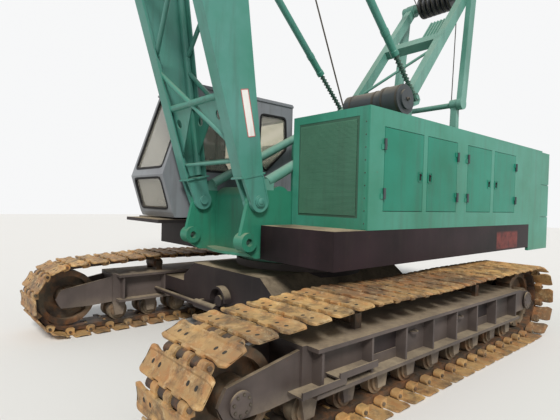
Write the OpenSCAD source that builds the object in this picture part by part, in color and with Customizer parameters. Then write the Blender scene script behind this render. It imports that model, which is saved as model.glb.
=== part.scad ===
// Crawler crane of about 50 t, boom raised. Origin on the ground under the slewing axis.
// +X points to the boom side, +Y to the machine's left, +Z up. Millimetres.

/* [Tracks] */
// Width of a track shoe
shoe_w = 760; // [500:10:900]
// Distance between the centre lines of the two tracks
track_gauge = 3490; // [3300:10:3600]
// Distance from the slewing axis to each idler and sprocket shaft
wheel_x = 2330; // [2100:10:2600]
// Radius of the chain's pin line round the idler
idler_pitch_r = 395; // [360:1:410]
// Radius of the chain's pin line round the sprocket
sprocket_pitch_r = 425; // [400:1:440]
// Wanted distance between the pins of one shoe
shoe_pitch = 240; // [200:5:280]
// Depth from the pin line to the face that meets the ground
shoe_out = 45; // [40:1:60]
// Depth from the pin line to the roller path
shoe_in = 43; // [30:1:50]
// Height of the ridges along both edges of a shoe
ridge_h = 12; // [6:1:16]
// Open gap between two neighbouring shoes
shoe_gap = 32; // [20:1:50]
// Width of the links under the shoes
link_w = 330; // [280:10:360]
// Height of the pin line above the carrier rollers' level at the top run
top_pin_z = 900; // [890:1:920]
// Sag of the top run between two carrier rollers
chain_sag = 22; // [0:1:40]

/* [Side frames] */
// Half width of a side frame's box beam
frame_half = 205; // [190:5:230]
// Overall width of the flanges
flange_w = 640; // [560:10:660]
// Underside of the bottom flange
frame_z0 = 345; // [340:1:360]
// Top of the top flange
frame_z1 = 690; // [670:5:700]
// Thickness of flanges, ribs and brackets
frame_t = 30; // [20:1:40]
// Radius of a track roller
roller_r = 122; // [110:1:124]
// Number of track rollers on a side
roller_n = 9; // [7:1:9]
// Distance between two track rollers
roller_step = 430; // [400:10:440]
// Radius of a carrier roller
carrier_r = 70; // [60:1:80]

/* [Carbody] */
// Half length of the carbody along X
body_half_x = 1150; // [1100:10:1250]
// Half width of its full-height centre box
body_half_y = 650; // [600:10:700]
// Top of the centre box
body_top = 905; // [890:1:915]
// Underside of the carbody
body_z0 = 420; // [400:5:450]
// Length along X of a transverse beam
beam_l = 440; // [380:10:480]
// Top of the transverse beams
beam_top = 640; // [600:5:650]
// Running gap where one piece slides or seats in another
seat_gap = 0.3; // [0.2:0.1:0.4]

/* [Slewing ring] */
// Outer radius of the toothed lower ring
ring_r = 790; // [750:5:820]
// Height of the lower ring
ring_h = 80; // [60:5:90]

/* [Upper deck] */
// Underside of the deck frames
deck_z0 = 1091; // [1085:1:1095]
// Top of the deck frames
deck_z1 = 1438; // [1420:1:1450]
// Half width of the upperworks
upper_half = 1603; // [1560:1:1640]
// Front edge of the deck frames
deck_x1 = 1122; // [1080:1:1150]
// Rear edge of the deck frames
deck_x0 = -3310; // [-3360:1:-3300]
// Thickness of the main side plates
main_t = 50; // [40:1:60]
// Inner face of a main side plate
main_y = 515; // [500:1:520]
// Top of the main side plates behind the boom foot
main_top = 1801; // [1790:1:1810]
// Top of the main side plates under the winches
main_low = 1700; // [1660:5:1720]
// Width of the flange on top of a main side plate
main_flange = 82; // [70:1:100]

/* [Housings] */
// Front wall of the left housing
house_x1 = 668; // [640:1:700]
// Front wall of the right housing
right_x1 = -640; // [-760:1:-600]
// Roof height of the housings
house_z1 = 2593; // [2560:1:2620]
// Clearance between a main side plate and the housing beside it
house_gap = 15; // [14:1:30]
// Thickness of walls and doors
wall_t = 40; // [30:1:50]
// Lower edge of the doors
door_z0 = 1615; // [1590:1:1640]
// Upper edge of the doors
door_z1 = 2425; // [2400:1:2450]
// Gap round a door
door_gap = 6; // [5:1:8]
// Radius of the hinge barrels
hinge_r = 13; // [10:1:16]
// Length of the engine
engine_l = 2100; // [1900:10:2300]
// Clearance between the engine and the housing's side walls
engine_gap = 180; // [140:5:220]
// Radius of the air cleaner's can
cleaner_r = 170; // [150:1:185]

/* [Counterweight] */
// Length of the counterweight along the centre line
weight_l = 632; // [560:1:680]
// Radius of the tail about the slewing axis
tail_r = 4420; // [4350:10:4450]
// Underside of the counterweight
weight_z0 = 1040; // [1000:5:1080]

/* [Cab] */
// Inner side of the cab
cab_y0 = 700; // [690:5:720]
// Distance of the cab's outer side inside the upperworks' side
cab_inset = 3; // [1:1:20]
// Wall thickness of the cab
cab_t = 40; // [30:1:45]
// Rear wall of the cab
cab_x0 = -490; // [-520:5:-470]
// Foremost edge of the cab
cab_nose = 1570; // [1540:5:1600]
// Roof height of the cab
cab_z1 = 3120; // [3080:5:3160]
// Thickness of the panes
pane_t = 6; // [5:1:8]

/* [Boom] */
// Boom foot pin ahead of the slewing axis
foot_x = 1146; // [1130:1:1160]
// Boom foot pin above the ground
foot_z = 1681; // [1670:1:1690]
// Boom angle above the horizontal at rest
boom_deg = 77; // [76:0.5:78]
// Length of the boom from foot pin to head shaft
boom_l = 10000; // [9500:50:10500]
// Length of the base section
base_l = 5000; // [4800:50:5200]
// Radius of the four main chords
chord_r = 46; // [40:1:52]
// Radius of the lacing tubes
lacing_r = 26; // [20:1:30]
// Thickness of a boom foot ear
ear_t = 40; // [34:1:44]
// Clearance between a boom foot ear and the main side plate
ear_gap = 7; // [5:1:9]
// Length of the base section's side plates
plate_l = 3300; // [3100:50:3500]
// Width of the flanges along the side plates
flange_b = 150; // [120:5:170]
// Radius of the boom foot pins
foot_pin_r = 50; // [40:1:60]

// Distance of the head shaft in front of the boom's axis
head_v = 420; // [380:10:460]
// Radius of the rope on the drum and on the guide sheave
rope_wrap_r = 215; // [200:5:230]
// Radius of the hoist rope
rope_r = 11; // [8:1:13]

/* [Gantry] */
// Gantry bracket ahead of the slewing axis
knee_x = -1650; // [-1700:5:-1600]
// Gantry bracket above the ground
knee_z = 3260; // [3220:5:3300]
// Apex shaft ahead of the slewing axis
apex_x = -3280; // [-3320:5:-3240]
// Apex shaft above the ground
apex_z = 5280; // [5240:5:5320]
// Radius of the gantry struts
strut_r = 56; // [50:1:60]
// Width of a gantry leg's box section
leg_w = 150; // [130:5:170]

/* [Backstops] */
// Distance from the base section's end back to the backstop pins
stop_back = 380; // [320:10:440]
// Outer radius of the backstop tubes
stop_r = 50; // [44:1:52]
// Radius of the backstop rods
stop_rod_r = 26; // [22:1:30]
// Clearance between a backstop tube and the boom's side
stop_gap = 10; // [8:1:16]

/* [Hook] */
// Distance from the head shaft down to the block's sheave shaft
fall_l = 3200; // [2800:50:3600]

/* [Hidden] */
$fn = 48;

track_y = track_gauge / 2;
main_y1 = main_y + main_t;
deck_y0 = main_y1 + 45;
house_y0 = main_y1 + house_gap;
cab_y1 = upper_half - cab_inset;
weight_x1 = weight_l - tail_r;
gantry_y = main_y;
boom_half = main_y1 + ear_gap + ear_t;
stop_y = boom_half + stop_gap + stop_r;
stop_u = base_l - stop_back;
paint = "mediumaquamarine";
dark = "dimgray";

// General shapes
module plate(pts, y, t) translate([0, y + t, 0]) rotate([90, 0, 0]) linear_extrude(t) polygon(pts);
module rod_y(x, z, r, y0, y1) translate([x, y1, z]) rotate([90, 0, 0]) cylinder(r = r, h = y1 - y0);
module tube_y(x, z, r, r_in, y0, y1) difference() {
    rod_y(x, z, r, y0, y1);
    rod_y(x, z, r_in, y0 - 1, y1 + 1);
}
module bar(a, b, r) {
    d = b - a;
    translate(a) rotate([0, acos(d[2] / norm(d)), atan2(d[1], d[0])]) cylinder(r = r, h = norm(d));
}
module both() {
    children();
    mirror([0, 1, 0]) children();
}
module block(lo, hi) translate(lo) cube(hi - lo);

// Track chain: the pin line is a closed path of straight runs and arcs, and shoe pins stand on it
pin_z = shoe_out;
idler_z = idler_pitch_r + shoe_out;
sprocket_z = sprocket_pitch_r + shoe_out;
carrier_x = [1150, -950];
arc_n = 14;
pin_path = concat(
    [for (i = [0 : arc_n]) [wheel_x + idler_pitch_r * sin(180 * i / arc_n),
        idler_z - idler_pitch_r * cos(180 * i / arc_n)]],
    [[carrier_x[0], top_pin_z], [(carrier_x[0] + carrier_x[1]) / 2, top_pin_z - chain_sag],
        [carrier_x[1], top_pin_z]],
    [for (i = [0 : arc_n]) [-wheel_x - sprocket_pitch_r * sin(180 * i / arc_n),
        sprocket_z + sprocket_pitch_r * cos(180 * i / arc_n)]],
    [[wheel_x, pin_z]]);
function run(p, i) = i == 0 ? 0 : norm(p[i] - p[i - 1]) + run(p, i - 1);
path_s = [for (i = [0 : len(pin_path) - 1]) run(pin_path, i)];
chain_l = path_s[len(path_s) - 1];
shoe_n = round(chain_l / shoe_pitch);
pitch = chain_l / shoe_n;
path_x = [for (i = [0 : len(pin_path) - 1]) [path_s[i], pin_path[i][0]]];
path_z = [for (i = [0 : len(pin_path) - 1]) [path_s[i], pin_path[i][1]]];
function pin_at(i) = let(s = (i % shoe_n) * pitch) [lookup(s, path_x), lookup(s, path_z)];
shoe_top = shoe_out - ridge_h;
shoe_low = 8;
half_shoe = (pitch - shoe_gap) / 2;
shoe_outline = [[-half_shoe, shoe_low], [-half_shoe, shoe_out], [-half_shoe + 34, shoe_out],
    [-half_shoe + 44, shoe_top], [half_shoe - 44, shoe_top], [half_shoe - 34, shoe_out],
    [half_shoe, shoe_out], [half_shoe, shoe_low]];
function on_link(a, b, t, n) = let(d = (b - a) / norm(b - a), m = (a + b) / 2) m + t * d - n * [-d[1], d[0]];
module track() {
    band_out = shoe_low + 12;
    color("peru") {
        translate([0, link_w / 2, 0]) rotate([90, 0, 0]) linear_extrude(link_w) difference() {
            polygon([for (i = [0 : shoe_n - 1]) for (k = [-1, 1])
                on_link(pin_at(i), pin_at(i + 1), k * pitch * 0.36, band_out)]);
            polygon([for (i = [0 : shoe_n - 1]) for (k = [-1, 1])
                on_link(pin_at(i), pin_at(i + 1), k * pitch * 0.36, -shoe_in)]);
        }
        for (i = [0 : shoe_n - 1])
            translate([0, shoe_w / 2, 0]) rotate([90, 0, 0]) linear_extrude(shoe_w)
                polygon([for (q = shoe_outline) on_link(pin_at(i), pin_at(i + 1), q[0], q[1])]);
    }
}
module track_left() translate([0, track_y, 0]) track();
module track_right() translate([0, -track_y, 0]) track();

// The polygon of straight links comes nearest to the wheel at the middle of each link
function wheel_r(r) = r * cos(180 * pitch / (PI * r) / 2) - shoe_in - seat_gap;
idler_r = wheel_r(idler_pitch_r) - 2;
sprocket_r = wheel_r(sprocket_pitch_r) - 2;
fork_y = 150;
module wheel(x, z, r, half) {
    rod_y(x, z, r * 0.42, -fork_y + seat_gap, fork_y - seat_gap);
    tube_y(x, z, r, r * 0.8, -half, half);
    rod_y(x, z, r * 0.9, -22, 22);
}
module idlers() color(dark) both() translate([0, track_y, 0]) wheel(wheel_x, idler_z, idler_r, 110);
module sprockets() color(dark) both() translate([0, track_y, 0]) difference() {
    wheel(-wheel_x, sprocket_z, sprocket_r, 90);
    for (i = [0 : 10]) translate([-wheel_x, 0, sprocket_z]) rotate([0, i * 360 / 11, 0])
        translate([sprocket_r + 12, 120, 0]) rotate([90, 0, 0]) cylinder(r = 44, h = 240);
}
roller_z = shoe_out + shoe_in + roller_r + seat_gap;
roller_half = 170;
module track_rollers() color(dark) both() translate([0, track_y, 0])
    for (i = [0 : roller_n - 1]) {
        x = (i - (roller_n - 1) / 2) * roller_step;
        rod_y(x, roller_z, roller_r * 0.75, -roller_half, roller_half);
        for (s = [-1, 1]) rod_y(x, roller_z, roller_r, s * 100 - 45, s * 100 + 45);
    }
carrier_z = top_pin_z - shoe_in - carrier_r - 4;
module carrier_rollers() color(dark) both() translate([0, track_y, 0]) for (x = carrier_x) {
    rod_y(x, carrier_z, carrier_r, -120, 120);
    for (s = [-1, 1]) block([x - 40, s * 140 - 20 + seat_gap, frame_z1], [x + 40, s * 140 + 20 - seat_gap, carrier_z + 30]);
}

// Side frames: a box beam with wide flanges, ribs beside the beams' pockets, roller brackets,
// wheel forks, two steps (start along X, height) and lashing lugs
pocket_at = 900;
pocket_x = [-pocket_at, pocket_at];
rib_x = [220, pocket_at - beam_l / 2 - 15, pocket_at + beam_l / 2 + 15, 1700];
end_x = wheel_x - 520;
step_l = 440;
step_t = 12;
step_at = [[1130, 440], [1500, 400]];
module side_frame() color(dark) {
    difference() {
        union() {
            block([-end_x, -frame_half, frame_z0], [end_x, frame_half, frame_z1]);
            for (z = [frame_z0, frame_z1 - frame_t])
                block([-end_x + 40, -flange_w / 2, z], [end_x - 40, flange_w / 2, z + frame_t]);
            for (s = [-1, 1]) for (x = rib_x)
                block([s * x - 12, -flange_w / 2 + 20, frame_z0], [s * x + 12, flange_w / 2 - 20, frame_z1]);
        }
        for (x = pocket_x) block([x - beam_l / 2 - seat_gap, -flange_w, body_z0 + 40 - seat_gap],
            [x + beam_l / 2 + seat_gap, flange_w, beam_top + seat_gap]);
    }
    for (e = [[1, idler_z], [-1, sprocket_z]]) for (s = [-1, 1])
        plate([[e[0] * (end_x - 150), frame_z0], [e[0] * (end_x + 280), e[1] - 120],
            [e[0] * (wheel_x + 90), e[1] - 110], [e[0] * (wheel_x + 150), e[1]],
            [e[0] * (wheel_x + 90), e[1] + 110], [e[0] * (end_x - 150), frame_z1 - 5]],
            s > 0 ? fork_y : -fork_y - frame_t, frame_t);
    for (i = [0 : roller_n - 1]) for (s = [-1, 1]) {
        x = (i - (roller_n - 1) / 2) * roller_step;
        plate([[x - 90, frame_z0 + 5], [x - 50, roller_z - 50], [x + 50, roller_z - 50], [x + 90, frame_z0 + 5]],
            s > 0 ? roller_half + seat_gap : -roller_half - seat_gap - frame_t, frame_t);
    }
    for (t = step_at) {
        block([t[0], frame_half - 1, t[1]], [t[0] + step_l, flange_w / 2 + 30, t[1] + step_t]);
        block([t[0], flange_w / 2 + 30 - step_t, t[1]], [t[0] + step_l, flange_w / 2 + 30, t[1] + 50]);
    }
    for (x = [-430, 430]) difference() {
        translate([x, frame_half, 540]) cylinder(r = 55, h = 20);
        translate([x, frame_half + 28, 539]) cylinder(r = 20, h = 22);
    }
}
module side_frame_left() translate([0, track_y, 0]) side_frame();
module side_frame_right() translate([0, -track_y, 0]) mirror([0, 1, 0]) side_frame();
motor_y0 = track_y - fork_y - frame_t - seat_gap;
module travel_motors() color(dark) both() {
    rod_y(-wheel_x, sprocket_z, 235, motor_y0 - 160, motor_y0);
    rod_y(-wheel_x, sprocket_z, 150, motor_y0 - 330, motor_y0 - 159);
}

// Carbody: a centre box with sloping shoulders, two transverse beams and the ring seat
module carbody() color(dark) {
    shoulder = body_half_y + 240;
    translate([-body_half_x, 0, 0]) rotate([90, 0, 90]) linear_extrude(2 * body_half_x)
        polygon([[-shoulder, body_z0], [shoulder, body_z0], [shoulder, 720], [body_half_y, body_top],
            [-body_half_y, body_top], [-shoulder, 720]]);
    for (x = pocket_x) block([x - beam_l / 2, -track_y - 200, body_z0 + 40], [x + beam_l / 2, track_y + 200, beam_top]);
    translate([0, 0, body_top - 60]) cylinder(r = ring_r + 12, h = 60, $fn = 96);
    for (e = [0, 180]) rotate([0, 0, e]) spread_cylinder();
    translate([body_half_x - 1, 0, hood_z]) rotate([90, 0, 90]) linear_extrude(91) difference() {
        circle(r = hood_r);
        circle(r = hood_r - 26);
        translate([-hood_r, -2 * hood_r]) square(2 * hood_r);
    }
    translate([body_half_x - 1, 0, hood_z]) rotate([0, 90, 0]) cylinder(r = 62, h = 70);
}
// Hood over the centre joint, and the cylinder that spreads the tracks
hood_z = 560;
hood_r = 165;
spread_z = 450;
module spread_cylinder() {
    x = body_half_x + 62;
    rod_y(x, spread_z, 50, -480, -40);
    rod_y(x, spread_z, 28, -track_y + frame_half + seat_gap, -479);
    for (y = [-430, -120]) block([body_half_x - 1, y, body_z0], [x, y + 40, spread_z + 50]);
}
module slew_ring() color(dark) translate([0, 0, body_top + seat_gap]) difference() {
    cylinder(r = ring_r, h = ring_h, $fn = 96);
    translate([0, 0, -1]) cylinder(r = ring_r - 150, h = ring_h + 2, $fn = 96);
}

// Upper main frame with boom foot lugs and a round-topped cross box between the side plates
box_x0 = 640;
box_l = 300;
lug_x = 1271;
lug_z = 1267;
ring_top = body_top + seat_gap + ring_h;
module main_frame() color(paint) {
    both() difference() {
        union() {
            plate([[weight_x1 + seat_gap, deck_z0], [1150, deck_z0], [1330, 1195], [1350, 1300], [1262, 1660],
                [foot_x, main_top], [box_x0, main_top], [400, main_low], [weight_x1 + seat_gap, main_low]],
                main_y, main_t);
            rod_y(foot_x, foot_z, 120, main_y, main_y1);
            rod_y(lug_x, lug_z, 95, main_y - 45, main_y1 + 55);
            block([weight_x1 + seat_gap, main_y1 + 13 - main_flange, main_low - 14], [395, main_y1 + 13, main_low]);
        }
        rod_y(foot_x, foot_z, foot_pin_r + 0.05, main_y - 115, main_y1 + 135);
        rod_y(lug_x, lug_z, 40, main_y - 115, main_y1 + 135);
    }
    block([weight_x1 + seat_gap, -main_y - 1, deck_z0], [900, main_y + 1, deck_z0 + 30]);
    translate([0, 0, deck_z0]) linear_extrude(30) intersection() {
        circle(r = 1180, $fn = 96);
        translate([800, -main_y - 1]) square([400, 2 * main_y + 2]);
    }
    translate([0, 0, ring_top + seat_gap]) cylinder(r = ring_r - 50, h = deck_z0 - ring_top - 2 * seat_gap, $fn = 96);
    translate([0, 0, ring_top + seat_gap]) cylinder(r = main_y - 20, h = deck_z0 - ring_top + 10, $fn = 96);
    block([box_x0, -main_y - 1, deck_z0], [box_x0 + box_l, main_y + 1, main_low]);
    rod_y(box_x0 + box_l / 2, main_low, box_l / 2, -main_y - 1, main_y + 1);
    block([300, -main_y - 1, 1600], [430, main_y + 1, 1690]);
    block([330, -260, 1689], [410, -60, 1850]);
}
module deck() {
    block([deck_x0, deck_y0, deck_z1 - 16], [deck_x1, upper_half, deck_z1]);
    block([deck_x0, upper_half - 25, deck_z0], [deck_x1, upper_half, deck_z1]);
    block([deck_x0, deck_y0, deck_z0], [deck_x1, deck_y0 + 25, deck_z1]);
    for (x = [deck_x0, -2200, -1100, 0, deck_x1 - 25]) block([x, deck_y0, deck_z0], [x + 25, upper_half, deck_z1]);
    block([deck_x0, upper_half - 120, deck_z0], [deck_x1, upper_half, deck_z0 + 16]);
    for (x = [-2600, -1400, -200, 900]) block([x, main_y1 + seat_gap, deck_z0 + 60], [x + 80, deck_y0 + 1, deck_z1 - 60]);
}
module deck_left() color(dark) deck();
module deck_right() color(dark) mirror([0, 1, 0]) deck();

// Housings: hollow, with door openings cut in the outer wall
house_z0 = deck_z1 + seat_gap;
// Each door: low x, high x, hinge at the high end (1) or the low end (-1)
left_doors = [[-260, 440, 1], [-1000, -340, -1], [-1930, -1260, 1], [-2730, -2020, -1]];
right_doors = [[-1720, -900, 1], [-2800, -1960, -1]];
module house(x1, doors) {
    difference() {
        block([deck_x0, house_y0, house_z0], [x1, upper_half, house_z1]);
        block([deck_x0 + wall_t, house_y0 + wall_t, house_z0 - 1], [x1 - wall_t, upper_half - wall_t, house_z1 - wall_t]);
        for (d = doors) block([d[0], upper_half - wall_t - 1, door_z0], [d[1], upper_half + 1, door_z1]);
    }
    for (d = doors) for (z = hinge_at) hinge_half(d, z);
}
function hinge_x(d) = d[2] > 0 ? d[1] : d[0];
hinge_y = upper_half + hinge_r + 1;
hinge_at = [door_z0 + 120, door_z1 - 220];
hinge_l = 50;
// Half a hinge: a barrel and a leaf, which lies on the frame (side 1) or on the door (side -1)
module hinge_half(d, z, side = 1) {
    x = [hinge_x(d), hinge_x(d) + side * d[2] * hinge_l];
    translate([hinge_x(d), hinge_y, z]) cylinder(r = hinge_r, h = hinge_l);
    block([min(x), upper_half - 1, z], [max(x), upper_half + 8, z + hinge_l]);
}
module door_leaf(d) {
    block([d[0] + door_gap, upper_half - wall_t, door_z0 + door_gap], [d[1] - door_gap, upper_half, door_z1 - door_gap]);
    for (z = hinge_at) hinge_half(d, z + hinge_l + seat_gap, -1);
}
grille_y = [house_y0 + 90, upper_half - 123];
grille_z = [house_z0 + 107, house_z1 - 83];
slat_n = 22;
module house_left() color(paint) difference() {
    house(house_x1, left_doors);
    block([house_x1 - wall_t - 1, grille_y[0], grille_z[0]], [house_x1 + 1, grille_y[1], grille_z[1]]);
}
module house_right() color(paint) mirror([0, 1, 0]) house(right_x1, right_doors);
module radiator_grille() color("seagreen") {
    y0 = grille_y[0] + seat_gap;
    y1 = grille_y[1] - seat_gap;
    z0 = grille_z[0] + seat_gap;
    z1 = grille_z[1] - seat_gap;
    difference() {
        block([house_x1 - 34, y0, z0], [house_x1 - 4, y1, z1]);
        block([house_x1 - 35, y0 + 30, z0 + 30], [house_x1 - 3, y1 - 30, z1 - 30]);
    }
    for (i = [1 : slat_n]) translate([house_x1 - 20, y0 + 20, z0 + 10 + i * (z1 - z0 - 32) / (slat_n + 1)])
        rotate([0, 35, 0]) cube([4, y1 - y0 - 40, 30]);
}
module engine_door_1() color(paint) door_leaf(left_doors[0]);
module engine_door_2() color(paint) door_leaf(left_doors[1]);
module engine_door_3() color(paint) door_leaf(left_doors[2]);
module engine_door_4() color(paint) door_leaf(left_doors[3]);
module right_door_1() color(paint) mirror([0, 1, 0]) door_leaf(right_doors[0]);
module right_door_2() color(paint) mirror([0, 1, 0]) door_leaf(right_doors[1]);
engine_x1 = house_x1 - 868;
module engine_block() color(dark)
    block([engine_x1 - engine_l, house_y0 + engine_gap, house_z0], [engine_x1, upper_half - engine_gap, house_z1 - 293]);

// Counterweight: three slabs whose back follows the tail circle, with grooves between them and lifting lugs
weight_z1 = house_z1 - 20;
slab_n = 3;
slab_h = (weight_z1 - weight_z0) / slab_n;
module slab(z0, z1, inset) translate([0, 0, z0]) linear_extrude(z1 - z0) intersection() {
    circle(r = tail_r - inset, $fn = 180);
    translate([-tail_r, inset - upper_half]) square([tail_r + weight_x1, 2 * (upper_half - inset)]);
}
module counterweight() color(paint) {
    slab(weight_z0 + 5, weight_z1 - 5, 14);
    for (i = [0 : slab_n - 1]) slab(weight_z0 + i * slab_h + (i > 0 ? 5 : 0), weight_z0 + (i + 1) * slab_h - (i < slab_n - 1 ? 5 : 0), 0);
    both() difference() {
        rod_y(weight_x1 - 200, weight_z1, 80, 990, 1030);
        rod_y(weight_x1 - 200, weight_z1 + 35, 28, 980, 1040);
    }
}
// Side covers between the housings and the counterweight
module rear_covers() color(paint) both() difference() {
    block([weight_x1 + seat_gap, house_y0, weight_z0], [deck_x0 - seat_gap, upper_half, house_z1]);
    block([weight_x1 - 1, house_y0 + wall_t, weight_z0 - 1], [deck_x0 + 1, upper_half - wall_t, house_z1 - wall_t]);
}

// Gantry
rear_x = -3020;
rear_z = 3370;
knee = [knee_x, 0, knee_z];
apex = [apex_x, 0, apex_z];
leg_d = (apex - knee) / norm(apex - knee);
stop_low = [knee_x + 100, 0, knee_z - 60];
stop_eye = 36;
knee_r = 105;
post_half = 50;
strut_foot = [985, gantry_y, main_top + 89];
module low_gantry() color(paint) {
    both() {
        bar(strut_foot, knee + [0, gantry_y, 0], strut_r);
        bar([knee_x + 30, gantry_y, main_low + 100], knee + [0, gantry_y, 0], strut_r - 4);
        block([rear_x - post_half, gantry_y - post_half, main_low + 60], [rear_x + post_half, gantry_y + post_half, rear_z]);
        block([strut_foot[0] - 65, main_y + 5, main_top + seat_gap], [strut_foot[0] + 65, main_y + 45, strut_foot[2] + 30]);
        block([knee_x - 60, main_y + 5, main_low + seat_gap], [knee_x + 120, main_y + 45, main_low + 160]);
        block([rear_x - 80, main_y + 5, main_low + seat_gap], [rear_x + 80, main_y + 45, main_low + 110]);
        difference() {
            plate([for (q = knee_plate) [knee_x + q[0], knee_z + q[1]]], gantry_y - 15, 30);
            rod_y(knee_x - 220, knee_z - 20, 28, gantry_y - 20, gantry_y + 20);
        }
        rod_y(knee_x, knee_z, knee_r, gantry_y - 70, gantry_y + 62);
        rod_y(stop_low[0], stop_low[2], 54, gantry_y + 20, stop_y - stop_eye - seat_gap);
        rod_y(stop_low[0], stop_low[2], 30, gantry_y + 60, stop_y + stop_eye + 12);
        rod_y(rear_x, rear_z, 80, gantry_y - 66, gantry_y + 62);
    }
    rod_y(knee_x, knee_z - 10, 44, -gantry_y, gantry_y);
    rod_y(rear_x, rear_z - 8, 44, -gantry_y, gantry_y);
}
// Bracket plate behind the knee, as offsets from it
knee_plate = [[0, -100], [-60, -150], [-250, -75], [-285, 0], [-240, 60], [-150, 20], [-100, 30]];
leg_l = norm(apex - knee);
leg_n = [leg_d[2], 0, -leg_d[0]];
cross_t = 0.52 * leg_l;
fin_n = 5;
// Block square to the legs: t runs up the leg, n towards the boom
module leg_block(t0, t1, n0, n1, y0, y1) plate([for (q = [[t0, n0], [t1, n0], [t1, n1], [t0, n1]])
    let(p = knee + q[0] * leg_d + q[1] * leg_n) [p[0], p[2]]], y0, y1 - y0);
module gantry_legs() color(paint) {
    both() {
        leg_block(knee_r + seat_gap, leg_l, -leg_w / 2, leg_w / 2, gantry_y - 60, gantry_y + 60);
        rod_y(apex_x, apex_z, 110, gantry_y - 80, gantry_y + 62);
    }
    leg_block(cross_t - leg_w / 2, cross_t + leg_w / 2, -leg_w / 2, leg_w / 2, -gantry_y, gantry_y);
    bar(knee + 250 * leg_d - [0, gantry_y, 0], knee + 0.45 * leg_l * leg_d + [0, gantry_y, 0], 22);
    leg_block(cross_t + leg_w / 2 - 1, cross_t + leg_w / 2 + 450, 20, 36, 170, 430);
    for (i = [0 : fin_n - 1]) leg_block(cross_t + leg_w / 2 - 1, cross_t + leg_w / 2 + 430, 35, 60, 178 + i * 56, 198 + i * 56);
    rod_y(apex_x, apex_z, 45, -gantry_y, gantry_y);
}
link_t = 84;
module gantry_rear_links() color(paint) both() {
    y = gantry_y + 62 + seat_gap;
    plate([[rear_x - 85, rear_z], [rear_x + 85, rear_z], [apex_x + 85, apex_z - 4], [apex_x - 85, apex_z - 4]], y, link_t);
    rod_y(rear_x, rear_z, 100, y, y + link_t);
    rod_y(apex_x, apex_z, 100, y, y + link_t);
}
module sheave(x, z, r, y, w, bore = 45 + 0.3) difference() {
    rod_y(x, z, r, y - w / 2, y + w / 2);
    translate([x, y, z]) rotate([90, 0, 0]) rotate_extrude($fn = 48) translate([r, 0]) circle(r = groove, $fn = 24);
    rod_y(x, z, bore, y - w, y + w);
}
module gantry_sheaves() color(dark) for (y = luff_y) sheave(apex_x, apex_z, apex_sheave_r, y, 50);

// Winches
module drum(x, z, r, rim, half) {
    rod_y(x, z, r, -half, half);
    for (s = [-1, 1]) rod_y(x, z, rim, s * (half - 60) - 15, s * (half - 60) + 15);
    for (s = [-1, 1]) rod_y(x, z, 90, s > 0 ? half - 1 : -main_y + seat_gap, s > 0 ? main_y - seat_gap : -half + 1);
}
drum_x = -1500;
drum_z = 1500;
drum_r = rope_wrap_r - rope_r - seat_gap;
module hoist_drum_front() color(dark) drum(drum_x, drum_z, drum_r, 350, 430);
module hoist_drum_rear() color(dark) drum(-2330, drum_z, drum_r, 350, 430);
module boom_hoist_drum() color(dark) drum(-3080, drum_z - 60, 170, 280, 430);

cleaner_x = -400;
cleaner_z = house_z1 + 117 + cleaner_r;
cleaner_y1 = upper_half - 333;
module air_cleaner() color(dark) {
    rod_y(cleaner_x, cleaner_z, cleaner_r, cleaner_y1 - 260, cleaner_y1);
    rod_y(cleaner_x, cleaner_z, cleaner_r - 20, 480, cleaner_y1 - 259);
    rod_y(cleaner_x, cleaner_z, cleaner_r - 60, cleaner_y1 - 1, cleaner_y1 + 26);
    for (y = [760, 1100]) block([cleaner_x - 60, y, house_z1 + seat_gap], [cleaner_x + 60, y + 60, cleaner_z - 140]);
}

// Cab: side outline, its inner outline, and the openings as points of x and z
cab_z0 = 1460;
brow_z = 1975;
toe = [1430, 1520];
roof_x = 1180;
cab_pts = [[cab_x0, cab_z0], [toe[0] - 30, cab_z0], toe, [cab_nose, brow_z], [roof_x, cab_z1], [cab_x0, cab_z1]];
cab_in = [[cab_x0 + cab_t, cab_z0 + cab_t], [toe[0] - 58, cab_z0 + cab_t], [toe[0] - 37, toe[1] + 15],
    [cab_nose - 43, brow_z], [roof_x - 30, cab_z1 - cab_t], [cab_x0 + cab_t, cab_z1 - cab_t]];
door_x = [190, 950];
door_cab = [[door_x[0], 1530], [door_x[1], 1530], [door_x[1], 2960], [door_x[0], 2960]];
side_win = [[130, 2260], [112, 2900], [-350, 2905], [-380, 2450], [10, 2100]];
front_win = [[300, 2050], [1300, 2050], [1060, 2960], [300, 2960]];
door_win = [[270, 2120], [870, 2120], [870, 2880], [270, 2880]];
screen_z = [2060, 3040];
low_screen_z = [1570, 1945];
rear_win_z = [2150, 2900];
screen_y = [-cab_y1 + 80, -cab_y0 - 80];
rear_win_y = [-cab_y1 + 120, -cab_y0 - 120];
cab_hinge_z = [1650, 2800];
cab_hinge_y = -cab_y1 - hinge_r - 1;
// Outer face of the sloping front at a height
function front_x(z) = z > brow_z ? cab_nose + (roof_x - cab_nose) * (z - brow_z) / (cab_z1 - brow_z)
    : toe[0] + (cab_nose - toe[0]) * (z - toe[1]) / (brow_z - toe[1]);
function middle(pts) = [for (k = [0, 1]) (min([for (p = pts) p[k]]) + max([for (p = pts) p[k]])) / 2];
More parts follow.
